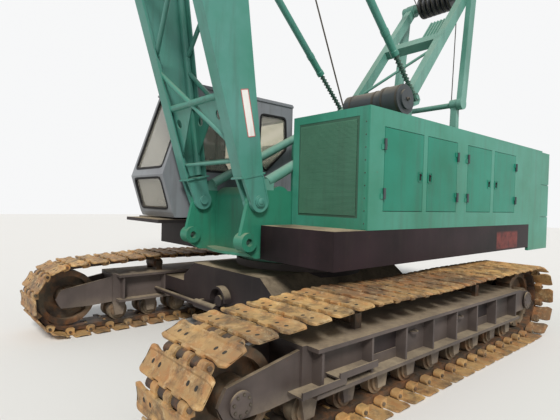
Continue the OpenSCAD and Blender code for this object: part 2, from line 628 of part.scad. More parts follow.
// A pane's outline, just smaller than its opening
function shrunk(pts) = let(m = middle(pts)) [for (p = pts) m + (p - m) * (1 - seat_gap / 200)];
module cab_shell() color("gray") {
    for (x = [cab_x0 + 60, 900]) for (y = [-cab_y1 + 60, -cab_y0 - 160])
        block([x, y, deck_z1 + seat_gap], [x + 120, y + 100, cab_z0 + 1]);
    for (z = cab_hinge_z) {
        translate([door_x[0], cab_hinge_y, z]) cylinder(r = hinge_r, h = hinge_l);
        block([door_x[0] - hinge_l, -cab_y1 - 8, z], [door_x[0], -cab_y1 + 1, z + hinge_l]);
    }
    cab_box();
}
module cab_box() difference() {
    plate(cab_pts, -cab_y1, cab_y1 - cab_y0);
    plate(cab_in, -cab_y1 + cab_t, cab_y1 - cab_y0 - 2 * cab_t);
    plate(door_cab, -cab_y1 - 1, cab_t + 2);
    plate(side_win, -cab_y0 - cab_t - 1, cab_t + 2);
    plate(front_win, -cab_y0 - cab_t - 1, cab_t + 2);
    plate(side_win, -cab_y1 - 1, cab_t + 2);
    for (z = [screen_z, low_screen_z])
        block([front_x(z[1]) - 220, screen_y[0], z[0]], [front_x(z[0]) + 220, screen_y[1], z[1]]);
    block([cab_x0 - 1, rear_win_y[0], rear_win_z[0]], [cab_x0 + cab_t + 1, rear_win_y[1], rear_win_z[1]]);
}
module screen(z) {
    z0 = z[0] + seat_gap;
    z1 = z[1] - seat_gap;
    plate([[front_x(z0) - 26, z0], [front_x(z0) - 19, z0], [front_x(z1) - 19, z1], [front_x(z1) - 26, z1]],
        screen_y[0] + seat_gap, screen_y[1] - screen_y[0] - 2 * seat_gap);
}
module cab_glass() color("lightblue") {
    for (y = [-cab_y0 - 23, -cab_y1 + 17]) plate(shrunk(side_win), y, pane_t);
    plate(shrunk(front_win), -cab_y0 - 23, pane_t);
    screen(screen_z);
    screen(low_screen_z);
    block([cab_x0 + 17, rear_win_y[0] + seat_gap, rear_win_z[0] + seat_gap],
        [cab_x0 + 17 + pane_t, rear_win_y[1] - seat_gap, rear_win_z[1] - seat_gap]);
}
module cab_door() color("gray") {
    difference() {
        plate([for (p = door_cab) middle(door_cab) + [for (k = [0, 1]) (p[k] - middle(door_cab)[k])
            * (1 - 2 * door_gap / [door_x[1] - door_x[0], 1430][k])]], -cab_y1, cab_t);
        plate(door_win, -cab_y1 - 1, cab_t + 2);
    }
    plate(shrunk(door_win), -cab_y1 + 17, pane_t);
    for (z = cab_hinge_z) {
        translate([door_x[0], cab_hinge_y, z + hinge_l + seat_gap]) cylinder(r = hinge_r, h = hinge_l);
        block([door_x[0], -cab_y1 - 8, z + hinge_l + seat_gap], [door_x[0] + hinge_l, -cab_y1 + 1, z + 2 * hinge_l + seat_gap]);
    }
}
module cab_step() color(dark)
    block([deck_x1 + seat_gap, -cab_y1, deck_z1 - 42], [cab_nose + 50, -cab_y0 + 20, deck_z1 - 2]);
seat_y = -(cab_y0 + cab_y1) / 2 - 50;
cab_floor = cab_z0 + cab_t + seat_gap;
module cab_seat() color("black") {
    block([60, seat_y - 190, cab_floor], [460, seat_y + 190, 1800]);
    block([0, seat_y - 220, 1800], [540, seat_y + 220, 1930]);
    block([-60, seat_y - 210, 1930], [70, seat_y + 210, 2560]);
}
lever_y = -cab_y0 - 120;
module cab_controls() color("black") {
    block([700, lever_y - 80, cab_floor], [1180, lever_y + 75, 1960]);
    for (i = [0 : 3]) bar([760 + i * 110, lever_y, 1950], [720 + i * 110, lever_y, 2200], 14);
}
module catwalk() color(dark) {
    block([-600, -upper_half - 340, deck_z1 - 40], [1300, -upper_half - seat_gap, deck_z1]);
}

// Boom frame: u along the boom from the foot pin, v towards the front face
bu = [cos(boom_deg), 0, sin(boom_deg)];
bv = [sin(boom_deg), 0, -cos(boom_deg)];
foot = [foot_x, 0, foot_z];
function on_boom(u, v, y) = foot + u * bu + v * bv + [0, y, 0];
// Rear and front faces of the base section: distance at the foot, and slope along the boom
rear_v0 = -72;
rear_slope = -0.087;
front_v0 = 147;
front_slope = 0.0785;
function rear_v(u) = rear_v0 + rear_slope * u;
function front_v(u) = front_v0 + front_slope * u;
// Axes of the rear and front chords; plates stand out from the tubes by plate_over
plate_over = 1;
function rear_c(u) = rear_v(u) + chord_r;
function front_c(u) = front_v(u) - chord_r;
function rear_e(u) = rear_v(u) - plate_over;
function front_e(u) = front_v(u) + plate_over;
// The boom's own directions: v, y and u stand for x, y and z
module in_boom() translate(foot) rotate([0, 90 - boom_deg, 0]) children();
module boom_plate(pts, y, t) plate([for (p = pts) let(q = on_boom(p[0], p[1], 0)) [q[0], q[2]]], y, t);
chord_y = boom_half - chord_r;
module chord_end(u0, u1, v) boom_plate([[u0, v - 58], [u0, v + 58], [u1, v + 58], [u1, v - 58]], chord_y - 55, 110);
side_t = 16;
flange_t = 15;
cap_u = 270;
ears = [main_y - ear_gap - ear_t, boom_half - ear_t];
low_tie_u = 440;
web_u = 1090;
arch_u = 1520;
arch_r = 400;
arch_half = (front_v(arch_u) - rear_v(arch_u)) / 2 - 20;
bay_n = 4;
lacing_in = 75;
bay_u0 = 480;
tie_u = base_l - 100;
function bay_u(k) = bay_u0 + k * (tie_u - bay_u0) / bay_n;
// Side plate with its two arms along the chords, and flanges along both edges
module side_plate() {
    u1 = plate_l + 500;
    boom_plate([[cap_u, rear_e(cap_u)], [u1, rear_e(u1)], [u1, rear_v(u1) + 90], [plate_l + 120, rear_v(plate_l) + 150],
        [plate_l, -60], [plate_l, 90], [plate_l + 120, front_v(plate_l) - 150], [u1, front_v(u1) - 90],
        [u1, front_e(u1)], [cap_u, front_e(cap_u)]], boom_half + plate_over - side_t, side_t);
    for (f = [[rear_e(cap_u), rear_e(u1), 1], [front_e(cap_u), front_e(u1), -1]])
        boom_plate([[cap_u, f[0]], [u1, f[1]], [u1, f[1] + f[2] * flange_t], [cap_u, f[0] + f[2] * flange_t]],
            boom_half + plate_over - flange_b, flange_b);
    // Doubler inside the plate, with an arched top
    a = asin(arch_half / arch_r);
    mid = (front_v(arch_u) + rear_v(arch_u)) / 2;
    boom_plate(concat([[300, front_v(300) - 20], [300, rear_v(300) + 20]], [for (i = [0 : 8])
        [arch_u + arch_r * (cos(a * (i / 4 - 1)) - cos(a)), mid + arch_r * sin(a * (i / 4 - 1))]]), boom_half - side_t - 14, 15);
}
// Triangular web plates with a round hole in the rear and front faces, under the thick tie
module web_plate(v0, slope) in_boom() translate([v0 - 6, 0, 0]) rotate([0, atan(slope), 0]) rotate([90, 0, 90])
    linear_extrude(12) difference() {
        polygon([[30, web_u], [chord_y + 10, web_u], [chord_y + 10, web_u - 620]]);
        translate([400, web_u - 175]) circle(r = 50);
    }
module boom_base() color(paint) {
    both() {
        for (y = ears) {
            boom_plate([[-60, -95], [cap_u + 2, -95], [cap_u + 2, 160], [-60, 95]], y, ear_t);
            rod_y(foot_x, foot_z, 112, y, y + ear_t);
        }
        boom_plate([[cap_u - 8, -125], [cap_u + 10, -125], [cap_u + 10, 190], [cap_u - 8, 190]],
            ears[0] - 22, boom_half + 4 - ears[0] + 22);
        side_plate();
        rod_y(foot_x, foot_z, foot_pin_r, ears[0] - 28, boom_half + 26);
        rod_y(foot_x, foot_z, foot_pin_r + 12, boom_half - 1, boom_half + 14);
        for (f = [[rear_c(300), rear_c(base_l)], [front_c(300), front_c(base_l)]])
            bar(on_boom(300, f[0], chord_y), on_boom(base_l - 20, f[1], chord_y), chord_r);
        bar(on_boom(plate_l + 300, rear_c(plate_l + 300), chord_y), on_boom(base_l - 230, front_c(base_l - 230), chord_y), lacing_r);
        bar(on_boom(tie_u, rear_c(tie_u), chord_y), on_boom(tie_u, front_c(tie_u), chord_y), lacing_r);
        rod_y(stop_high[0], stop_high[2], 62, chord_y - 20, stop_y - stop_r - seat_gap);
        bar(on_boom(stop_u, rear_c(stop_u), chord_y), on_boom(stop_u, rear_v(stop_u) - 12, chord_y), 50);
        for (v = [rear_c(base_l), front_c(base_l)]) chord_end(base_l - 60, base_l, v);
        web_plate(rear_c(0), rear_slope);
        web_plate(front_c(0), front_slope);
    }
    // Ties across both faces: distance up the boom, radius
    for (t = [[low_tie_u, 20], [web_u, 36], [bay_u(2), 32], [bay_u(3), 32], [tie_u, 34]])
        for (v = [rear_c(t[0]), front_c(t[0])]) bar(on_boom(t[0], v, -chord_y), on_boom(t[0], v, chord_y), t[1]);
    for (k = [0 : bay_n - 1]) {
        u0 = bay_u(k) + lacing_in;
        u1 = bay_u(k + 1) - lacing_in;
        s = k % 2 == 0 ? 1 : -1;
        bar(on_boom(u0, rear_c(u0), s * chord_y), on_boom(u1, rear_c(u1), -s * chord_y), lacing_r);
        bar(on_boom(u0, front_c(u0), s * chord_y), on_boom(u1, front_c(u1), -s * chord_y), lacing_r);
    }
}
// Tip section: chord axes from the base section's end to the head
tip_u = 9400;
tip_half = 300;
function tip_y(u) = chord_y + (tip_half - chord_y) * (u - base_l) / (tip_u - base_l);
function tip_rear(u) = rear_c(base_l) + (-180 - rear_v(base_l)) * (u - base_l) / (tip_u - base_l);
function tip_front(u) = front_c(base_l) + (240 - front_v(base_l)) * (u - base_l) / (tip_u - base_l);
head_u = boom_l;
head_y = 300;
guide_u = head_u - 400;
guide_v = -300;
pend_v = -60;
plate_y1 = head_y + 25;
module boom_top() color(paint) {
    bays = 6;
    both() {
        for (f = [0, 1]) {
            bar(on_boom(base_l + 20, f > 0 ? tip_front(base_l) : tip_rear(base_l), chord_y),
                on_boom(tip_u, f > 0 ? tip_front(tip_u) : tip_rear(tip_u), tip_y(tip_u)), chord_r - 2);
            chord_end(base_l + seat_gap, base_l + 60, f > 0 ? tip_front(base_l) : tip_rear(base_l));
        }
        boom_plate([[tip_u - 200, tip_rear(tip_u - 200)], [tip_u - 200, tip_front(tip_u - 200)], [head_u - 200, head_v + 60],
            [head_u + 40, head_v + 80], [head_u + 90, head_v], [head_u + 90, -130], [guide_u + 80, guide_v - 70],
            [guide_u - 60, guide_v - 60]], head_y, 25);
    }
    rod_y(on_boom(head_u, head_v, 0)[0], on_boom(head_u, head_v, 0)[2], 45, -plate_y1, plate_y1);
    rod_y(on_boom(guide_u, guide_v, 0)[0], on_boom(guide_u, guide_v, 0)[2], 45, -plate_y1, plate_y1);
    for (k = [0 : bays]) {
        u = base_l + 120 + k * (tip_u - base_l - 320) / bays;
        w = base_l + 120 + (k + 1) * (tip_u - base_l - 320) / bays;
        s = k % 2 == 0 ? 1 : -1;
        bar(on_boom(u, tip_rear(u), -tip_y(u)), on_boom(u, tip_rear(u), tip_y(u)), lacing_r);
        bar(on_boom(u, tip_front(u), -tip_y(u)), on_boom(u, tip_front(u), tip_y(u)), lacing_r);
        if (k < bays) {
            bar(on_boom(u, tip_rear(u), s * tip_y(u)), on_boom(w, tip_rear(w), -s * tip_y(w)), lacing_r);
            bar(on_boom(u, tip_front(u), s * tip_y(u)), on_boom(w, tip_front(w), -s * tip_y(w)), lacing_r);
            both() bar(on_boom(u, s > 0 ? tip_rear(u) : tip_front(u), tip_y(u)),
                on_boom(w, s > 0 ? tip_front(w) : tip_rear(w), tip_y(w)), lacing_r);
        }
    }
}
module boom_head_sheaves() color(dark) {
    g = on_boom(guide_u, guide_v, 0);
    for (i = [-2 : 2]) sheave(head[0], head[2], 200, i * 95, 55);
    sheave(g[0], g[2], rope_wrap_r + groove - rope_r - seat_gap, rope_y, 60);
}

// Backstops: a rod that slides in a tube
stop_high = on_boom(stop_u, rear_v(stop_u) - 10, 0);
stop_d = (stop_high - stop_low) / norm(stop_high - stop_low);
stop_l = norm(stop_high - stop_low);
function on_stop(d) = stop_low + [0, stop_y, 0] + d * stop_d;
module backstop_rods() color("silver") both() difference() {
    union() {
        rod_y(stop_low[0], stop_low[2], 58, stop_y - stop_eye, stop_y + stop_eye);
        bar(on_stop(30), on_stop(stop_l - 440), stop_rod_r);
        for (i = [0 : coil_n - 1]) spring_turn(80 + i * 56);
        bar(on_stop(800), on_stop(816), stop_rod_r + 2 * coil_r);
    }
    rod_y(stop_low[0], stop_low[2], 30.05, stop_y - 60, stop_y + 60);
}
// The spring's turns round the rod
coil_n = 13;
coil_r = 8;
module spring_turn(d) translate(on_stop(d)) rotate([0, acos(stop_d[2]), 0])
    rotate_extrude($fn = 36) translate([stop_rod_r + coil_r - 1, 0]) circle(r = coil_r, $fn = 14);
module backstop_tubes() color(paint) both() {
    difference() {
        bar(on_stop(1000), on_stop(stop_l - 40), stop_r);
        bar(on_stop(900), on_stop(stop_l - 270), stop_r - 10);
    }
    difference() {
        bar(on_stop(990), on_stop(1060), stop_r + 6);
        bar(on_stop(980), on_stop(1070), stop_rod_r + seat_gap);
    }
    rod_y(stop_high[0], stop_high[2], 62, stop_y - stop_r, stop_y + stop_r);
}

// Luffing ropes from the gantry apex to the bridle, and the pendants up to the boom head
pend = on_boom(head_u, pend_v, 0);
line_d = (pend - apex) / norm(pend - apex);
line_n = [-line_d[2], 0, line_d[0]];
line_l = norm(pend - apex);
bridle_at = 3600;
luff_r = 8;
apex_sheave_r = 190;
groove = 14;
luff_wrap = apex_sheave_r - groove + luff_r + seat_gap;
luff_y = [-270, -180, -90, 0, 90, 180, 270];
module luffing_ropes() color("black") for (y = luff_y) for (s = [-1, 1]) {
    o = [0, y, 0] + s * luff_wrap * line_n;
    bar(apex + o, apex + o + bridle_at * line_d, luff_r);
}
module pendants() color("black") {
    c = apex + bridle_at * line_d;
    for (y = luff_y) sheave(c[0], c[2], apex_sheave_r, y, 50, 40 - 1);
    rod_y(c[0], c[2], 40, -pend_y - 30, pend_y + 30);
    for (y = [-315, 315]) rod_y(c[0], c[2], 70, y - 10, y + 10);
    both() {
        bar(c + [0, pend_y, 0], pend + [0, pend_y, 0] - 60 * line_d, 18);
        rod_y(c[0], c[2], 75, pend_y - 30, pend_y + 30);
        rod_y(pend[0], pend[2], 75, pend_y - 30, pend_y + 30);
    }
}
pend_y = plate_y1 + seat_gap + 30;

// Hoist rope from the front drum to the guide sheave behind the boom head
rope_y = -150;
drum_c = [drum_x, 0, drum_z];
guide = on_boom(guide_u, guide_v, 0);
rope_d = (guide - drum_c) / norm(guide - drum_c);
rope_n = [-rope_d[2], 0, rope_d[0]];
rope_l = norm(guide - drum_c);
rope_o = drum_c + [0, rope_y, 0] + rope_wrap_r * rope_n;
rope_mid = rope_l / 2;
lap = 110;
function on_rope(d) = rope_o + d * rope_d;
// The lower half ends in a sleeve, and the upper half slides in it as the boom comes up
module hoist_rope_lower() color("black") {
    bar(on_rope(0), on_rope(rope_mid - lap), rope_r);
    difference() {
        bar(on_rope(rope_mid - lap - 40), on_rope(rope_mid), rope_r + 6);
        bar(on_rope(rope_mid - lap), on_rope(rope_mid + 10), rope_r + seat_gap);
    }
}
module hoist_rope_upper() color("black") bar(on_rope(rope_mid - 12), on_rope(rope_l - 230), rope_r);

// Hook block under the head sheaves
head = on_boom(head_u, head_v, 0);
fall_r = 9;
head_sheave_r = 200;
fall_x = head_sheave_r - groove + fall_r + seat_gap;
block_c = head - [0, 0, fall_l];
module hook_falls() color("black") for (i = [-2 : 2]) for (s = [-1, 1])
    bar([head[0] + s * fall_x, i * 95, block_c[2]], [head[0] + s * fall_x, i * 95, head[2]], fall_r);
module hook_block() color("goldenrod") {
    z = block_c[2];
    for (i = [-2 : 2]) sheave(head[0], z, head_sheave_r, i * 95, 55, 40 - 1);
    rod_y(head[0], z, 40, -275, 275);
    for (s = [-1, 1]) plate([[head[0] - 120, z + 190], [head[0] + 120, z + 190], [head[0] + 190, z + 60],
        [head[0] + 190, z - 120], [head[0] + 70, z - 400], [head[0] - 70, z - 400], [head[0] - 190, z - 120],
        [head[0] - 190, z + 60]], s > 0 ? 240 : -265, 25);
    block([head[0] - 60, -250, z - 400], [head[0] + 60, 250, z - 320]);
    translate([head[0], 0, z - 620]) cylinder(r = 45, h = 260);
    translate([head[0], 0, z - 730]) rotate([90, 0, 0]) rotate([0, 0, 100]) rotate_extrude(angle = 250)
        translate([115, 0]) circle(r = 40);
}

carbody();
side_frame_left();
side_frame_right();
track_left();
track_right();
idlers();
sprockets();
track_rollers();
carrier_rollers();
travel_motors();
slew_ring();
main_frame();
deck_left();
deck_right();
house_left();
house_right();
rear_covers();
radiator_grille();
engine_block();
counterweight();
low_gantry();
gantry_legs();
gantry_rear_links();
gantry_sheaves();
hoist_drum_front();
hoist_drum_rear();
boom_hoist_drum();
air_cleaner();
cab_shell();
cab_glass();
cab_seat();
cab_controls();
cab_step();
catwalk();
engine_door_1();
engine_door_2();
engine_door_3();
engine_door_4();
right_door_1();
right_door_2();
cab_door();
boom_base();
boom_top();
boom_head_sheaves();
backstop_rods();
backstop_tubes();
luffing_ropes();
pendants();
hoist_rope_lower();
hoist_rope_upper();
hook_falls();
hook_block();
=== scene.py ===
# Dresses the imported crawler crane: paint, dirt, ropes, bolts, trim, seat pads, light and camera
import math

import bpy
import numpy as np
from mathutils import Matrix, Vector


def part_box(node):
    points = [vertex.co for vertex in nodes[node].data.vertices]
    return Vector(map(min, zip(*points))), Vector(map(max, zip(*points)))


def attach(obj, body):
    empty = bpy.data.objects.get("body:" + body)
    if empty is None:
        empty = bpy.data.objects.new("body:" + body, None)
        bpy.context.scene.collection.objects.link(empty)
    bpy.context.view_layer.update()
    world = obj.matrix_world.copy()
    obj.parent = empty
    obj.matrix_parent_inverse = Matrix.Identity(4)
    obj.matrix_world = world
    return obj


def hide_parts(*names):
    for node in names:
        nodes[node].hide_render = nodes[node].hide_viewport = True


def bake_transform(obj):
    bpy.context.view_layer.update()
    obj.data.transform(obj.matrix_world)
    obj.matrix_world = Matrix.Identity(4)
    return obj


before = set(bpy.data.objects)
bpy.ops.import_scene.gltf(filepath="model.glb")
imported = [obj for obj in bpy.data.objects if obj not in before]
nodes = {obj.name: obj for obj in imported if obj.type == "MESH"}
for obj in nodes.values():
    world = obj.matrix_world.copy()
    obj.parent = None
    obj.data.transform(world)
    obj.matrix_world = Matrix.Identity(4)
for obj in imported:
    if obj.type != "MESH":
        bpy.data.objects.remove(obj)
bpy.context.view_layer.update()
print("packed model loaded:", len(nodes), "nodes")


# Colours are written as 0-255 screen values and turned into linear ones
def srgb(red, green, blue, alpha=1.0):
    value = np.array([red, green, blue]) / 255
    linear = np.where(value < 0.04045, value / 12.92, ((value + 0.055) / 1.055) ** 2.4)
    return (*linear.tolist(), alpha)


# Shader node of a kind, with its settings and its inputs linked or set
def addNode(tree, kind, inputs=None, **settings):
    made = tree.nodes.new("ShaderNode" + kind)
    for key, value in settings.items():
        setattr(made, key, value)
    for key, value in (inputs or {}).items():
        if isinstance(value, bpy.types.NodeSocket):
            tree.links.new(value, made.inputs[key])
        else:
            made.inputs[key].default_value = value
    return made


def calc(tree, operation, a, b=0.0, clamp=False):
    return addNode(tree, "Math", {0: a, 1: b}, operation=operation, use_clamp=clamp).outputs[0]


def ramp(tree, value, low, high, start=0.0, end=1.0):
    limits = {"Value": value, "From Min": low, "From Max": high, "To Min": start, "To Max": end}
    return addNode(tree, "MapRange", limits).outputs["Result"]


def noise(tree, vector, scale, detail=3.0, roughness=0.55):
    look = {"Vector": vector, "Scale": scale, "Detail": detail, "Roughness": roughness}
    return addNode(tree, "TexNoise", look).outputs["Fac"]


def mixColour(tree, factor, first, second):
    return addNode(tree, "Mix", {0: factor, 6: first, 7: second}, data_type="RGBA").outputs[2]


def times(tree, a, b, clamp=False):
    return calc(tree, "MULTIPLY", a, b, clamp)


# Coordinates a shader reads: the object's own, its map or the normal
def coords(tree, kind="Object"):
    return addNode(tree, "TexCoord").outputs[kind]


def split(tree, vector):
    return addNode(tree, "SeparateXYZ", {0: vector}).outputs


# New material with its shader tree and its surface, on which plain values are set
def newMaterial(name, values):
    material = bpy.data.materials.new(name)
    material.use_nodes = True
    tree = material.node_tree
    surface = tree.nodes["Principled BSDF"]
    for label, value in values.items():
        surface.inputs[label].default_value = value
    return material, tree, surface


def addBump(tree, surface, height, strength, distance):
    bump = addNode(tree, "Bump", {"Height": height, "Strength": strength, "Distance": distance})
    tree.links.new(bump.outputs[0], surface.inputs["Normal"])


# Noise behind each effect: scale, detail and roughness
fields = {"patches": (1.7, 6.0, 0.62), "fine": (23.0, 4.0, 0.7), "runs": (2.4, 5.0, 0.65),
          "specks": (31.0, 6.0, 0.72), "tone": (0.9, 5.0, 0.6), "rust": (7.0, 7.0, 0.68),
          "oil": (4.4, 7.0, 0.72), "scuff": (13.0, 7.0, 0.75), "broken": (5.0, 7.0, 0.75),
          "grain": (60.0, 5.0, 0.65)}

# The two values that are spread to 0 and 1, or to the two that follow them
spans = {"level": (0.25, 0.95), "topPatch": (0.32, 0.62, 0.25, 1.0), "ground": (1.0, 0.1),
         "mud": (0.4, 0.66), "fineDust": (0.25, 0.55, 0.55, 1.0), "runs": (0.5, 0.74),
         "specks": (0.615, 0.65), "chipPatch": (0.5, 0.68), "rust": (0.46, 0.66), "oil": (0.47, 0.6),
         "fineOil": (0.32, 0.56, 0.45, 1.0), "scuff": (0.53, 0.68), "drift": (0.36, 0.64),
         "broken": (0.4, 0.62, 0.85, 0.2)}


# Dust lies on upward faces and near the ground, streaks run down walls, chips are small specks
def buildWeathering():
    group = bpy.data.node_groups.new("weathering", "ShaderNodeTree")
    sockets = {"INPUT": "Dust Streaks Chips Low", "OUTPUT": "Dust Streak Chip Tone Rust Oil Scuff"}
    for way, labels in sockets.items():
        for label in labels.split():
            group.interface.new_socket(label, in_out=way, socket_type="NodeSocketFloat")
    entry, out = group.nodes.new("NodeGroupInput"), group.nodes.new("NodeGroupOutput")
    at = coords(group)

    def field(name, where=at):
        return noise(group, where, *fields[name])

    def spread(value, name):
        return ramp(group, value, *spans[name])

    up = split(group, coords(group, "Normal"))["Z"]
    patches, fine = field("patches"), field("fine")
    onTop = times(group, spread(up, "level"), spread(patches, "topPatch"))
    height = calc(group, "DIVIDE", split(group, at)["Z"], entry.outputs["Low"])
    mud = times(group, spread(height, "ground"), spread(patches, "mud"))
    dust = times(group, calc(group, "MAXIMUM", onTop, mud), entry.outputs["Dust"])
    dust = times(group, dust, spread(fine, "fineDust"), True)
    stretch = addNode(group, "Mapping", {"Vector": at, "Scale": (4.2, 4.2, 0.32)}).outputs[0]
    wall = calc(group, "SUBTRACT", 1.0, calc(group, "ABSOLUTE", up), True)
    streak = times(group, spread(field("runs", stretch), "runs"), wall)
    streak = times(group, streak, entry.outputs["Streaks"], True)
    chip = times(group, spread(field("specks"), "specks"), spread(patches, "chipPatch"))
    chip = times(group, chip, entry.outputs["Chips"], True)
    oil = times(group, spread(field("oil"), "oil"), spread(fine, "fineOil"), True)
    effects = {"Dust": dust, "Streak": streak, "Chip": chip, "Tone": field("tone"),
               "Rust": spread(field("rust"), "rust"), "Oil": oil, "Scuff": spread(field("scuff"), "scuff")}
    for label, socket in effects.items():
        group.links.new(socket, out.inputs[label])
    return group


weathering = buildWeathering()

dirt = {"dust": srgb(186, 169, 141), "streak": srgb(58, 54, 46), "rust": srgb(96, 58, 34),
        "orange": srgb(170, 106, 52), "oil": srgb(50, 41, 36), "pale": srgb(218, 196, 154)}


# One finish: base and second tone, then what differs from the usual. Dust, streaks and chips are shares,
# low is the height in metres up to which mud lies
def paint(base, tone, **more):
    usual = dict(rough=0.42, dust=0.3, streaks=0.3, chips=0.4, low=1.3, metal=0.0, spec=0.5)
    return {**usual, "base": base, "tone": tone, **more}


finishes = {
    "housePaint": paint((64, 140, 121), (42, 120, 96), dust=0.35, streaks=0.28, chips=0.35),
    "doorPaint": paint((26, 128, 106), (14, 108, 84), dust=0.22, streaks=0.25, chips=0.3, spec=0.35),
    "boomPaint": paint((82, 139, 129), (54, 124, 106), streaks=0.35, chips=0.5),
    # The main frame's green is partly painted sunlight: a brighter, more saturated copy of the crane paint
    "framePaintSunlit": paint((46, 126, 102), (34, 104, 80), rough=0.46, dust=0.4, streaks=0.4, chips=0.5),
    "gantryPaint": paint((104, 152, 139), (80, 132, 118), streaks=0.35),
    "grillePaint": paint((58, 96, 78), (46, 80, 64), rough=0.55),
    "darkFrame": paint((32, 28, 29), (54, 46, 46), rough=0.55, dust=0.8, low=0.2, spec=0.2),
    "sideFrame": paint((58, 51, 49), (92, 82, 78), rough=0.6, dust=0.7, low=0.45, spec=0.35),
    "trackSteel": paint((208, 168, 108), (126, 97, 68), rough=0.62, dust=0.12, chips=0.6, low=0.3,
                        metal=0.1, grain=0.6, rust=0.6, oil=0.72, scuff=0.5),
    # Dark link steel is painted shade: the links' band and back knuckles are darkened to stand for the
    # shade in the slots between plates
    "linkSteelPaintedShade": paint((66, 52, 42), (44, 37, 32), rough=0.65, dust=0.1, chips=0.5, low=0.3,
                       metal=0.15, grain=0.5, rust=0.4, oil=0.9),
    "wheelSteel": paint((78, 64, 52), (48, 42, 38), rough=0.6, dust=0.5, chips=0.5, metal=0.4,
                        grain=0.3, rust=0.4, oil=0.4),
    "cabPaint": paint((124, 128, 133), (106, 109, 115), rough=0.4, dust=0.35, streaks=0.4, chips=0.25),
    "rubber": paint((22, 22, 24), (32, 32, 33), rough=0.75, dust=0.12, streaks=0.1, chips=0.0, spec=0.3),
    "controlPlastic": paint((52, 53, 56), (40, 41, 44), rough=0.55, dust=0.15, streaks=0.0, chips=0.1),
    "engineAlu": paint((128, 130, 131), (98, 100, 101), rough=0.5, dust=0.4, streaks=0.4, chips=0.2,
                       metal=0.6),
    "cleanerBlack": paint((47, 54, 55), (60, 65, 70), rough=0.5, dust=0.4, streaks=0.35, chips=0.3),
    "springPaint": paint((54, 100, 84), (38, 72, 62), rough=0.45, dust=0.2),
    "sheaveSteel": paint((74, 76, 78), (52, 54, 56), rough=0.45, dust=0.25, streaks=0.2, metal=0.6),
    "hookPaint": paint((198, 160, 62), (170, 130, 44), rough=0.45, streaks=0.4, chips=0.6),
    "boltSteel": paint((92, 88, 82), (70, 64, 58), rough=0.45, dust=0.2, streaks=0.0, chips=0.3, metal=0.7),
    "platePaint": paint((232, 232, 228), (220, 219, 214), rough=0.4, dust=0.2, chips=0.1),
    "meshWire": paint((86, 136, 112), (70, 116, 94), rough=0.55, dust=0.2, chips=0.5),
    "deckPaint": paint((22, 18, 19), (46, 34, 38), dust=1.0, streaks=0.2, chips=0.5, low=0.2, spec=0.1,
                       patch=dict(colour=(132, 62, 56), middle=(-2.53, 1.23), half=(0.36, 0.12))),
    "borderPaint": paint((188, 96, 92), (176, 84, 82), rough=0.4, dust=0.2, streaks=0.2, chips=0.2),
}


# Worn patch of another paint: inside a box in x and z, with edges broken by noise
def patchMask(tree, patch):
    at = coords(tree)
    parts = split(tree, at)
    inside = 1.0
    for label, middle, half in zip("XZ", patch["middle"], patch["half"]):
        away = calc(tree, "ABSOLUTE", calc(tree, "SUBTRACT", parts[label], middle))
        inside = times(tree, ramp(tree, away, half + 0.01, half - 0.02), inside)
    broken = ramp(tree, noise(tree, at, *fields["broken"]), *spans["broken"])
    return times(tree, inside, broken, True)


# Base colour drifts between two tones, rust, oil and scuffs show through, then streaks, chips and dust
# cover it in that order
def makeFinish(name, look):
    values = {"Metallic": look["metal"], "Specular IOR Level": look["spec"]}
    material, tree, surface = newMaterial(name, values)
    shares = {label: look[label.lower()] for label in ("Dust", "Streaks", "Chips", "Low")}
    worn = addNode(tree, "Group", shares, node_tree=weathering)
    drift = ramp(tree, worn.outputs["Tone"], *spans["drift"])
    colour = mixColour(tree, drift, srgb(*look["base"]), srgb(*look["tone"]))
    for label, tint in (("Rust", "orange"), ("Oil", "oil"), ("Scuff", "pale")):
        if label.lower() in look:
            share = times(tree, worn.outputs[label], look[label.lower()])
            colour = mixColour(tree, share, colour, dirt[tint])
    if "patch" in look:
        colour = mixColour(tree, patchMask(tree, look["patch"]), colour, srgb(*look["patch"]["colour"]))
    for label, tint in (("Streak", "streak"), ("Chip", "rust"), ("Dust", "dust")):
        colour = mixColour(tree, worn.outputs[label], colour, dirt[tint])
    tree.links.new(colour, surface.inputs["Base Color"])
    rough = ramp(tree, worn.outputs["Dust"], 0.0, 0.8, look["rough"], 0.92)
    tree.links.new(rough, surface.inputs["Roughness"])
    if "grain" in look:
        addBump(tree, surface, noise(tree, coords(tree), *fields["grain"]), look["grain"], 0.004)
    return material


materials = {name: makeFinish(name, look) for name, look in finishes.items()}

# Clear pane: a plain see-through shader with a faint tint
paneLook = {"Base Color": srgb(240, 236, 222), "Roughness": 0.04, "IOR": 1.45, "Transmission Weight": 0.84,
            "Metallic": 0.0}
materials["cabPane"] = newMaterial("cabPane", paneLook)[0]

ropeLook = {"strands": 6.0, "perMetre": 42.0, "dark": (38, 35, 31), "light": (104, 98, 88), "metal": 0.6,
            "roughLow": 0.7, "roughHigh": 0.42, "bump": 0.7, "depth": 0.003}


# Greasy rope: strands wind round it, read from its own map (across, along in metres)
def makeRopeMaterial():
    material, tree, surface = newMaterial("ropeSteel", {"Metallic": ropeLook["metal"]})
    parts = split(tree, coords(tree, "UV"))
    lay = calc(tree, "ADD", times(tree, parts["X"], ropeLook["strands"]),
               times(tree, parts["Y"], ropeLook["perMetre"]))
    wave = calc(tree, "ABSOLUTE", calc(tree, "SINE", times(tree, lay, math.pi)))
    colour = mixColour(tree, wave, srgb(*ropeLook["dark"]), srgb(*ropeLook["light"]))
    tree.links.new(colour, surface.inputs["Base Color"])
    rough = ramp(tree, wave, 0.0, 1.0, ropeLook["roughLow"], ropeLook["roughHigh"])
    tree.links.new(rough, surface.inputs["Roughness"])
    addBump(tree, surface, wave, ropeLook["bump"], ropeLook["depth"])
    return material


materials["ropeSteel"] = makeRopeMaterial()

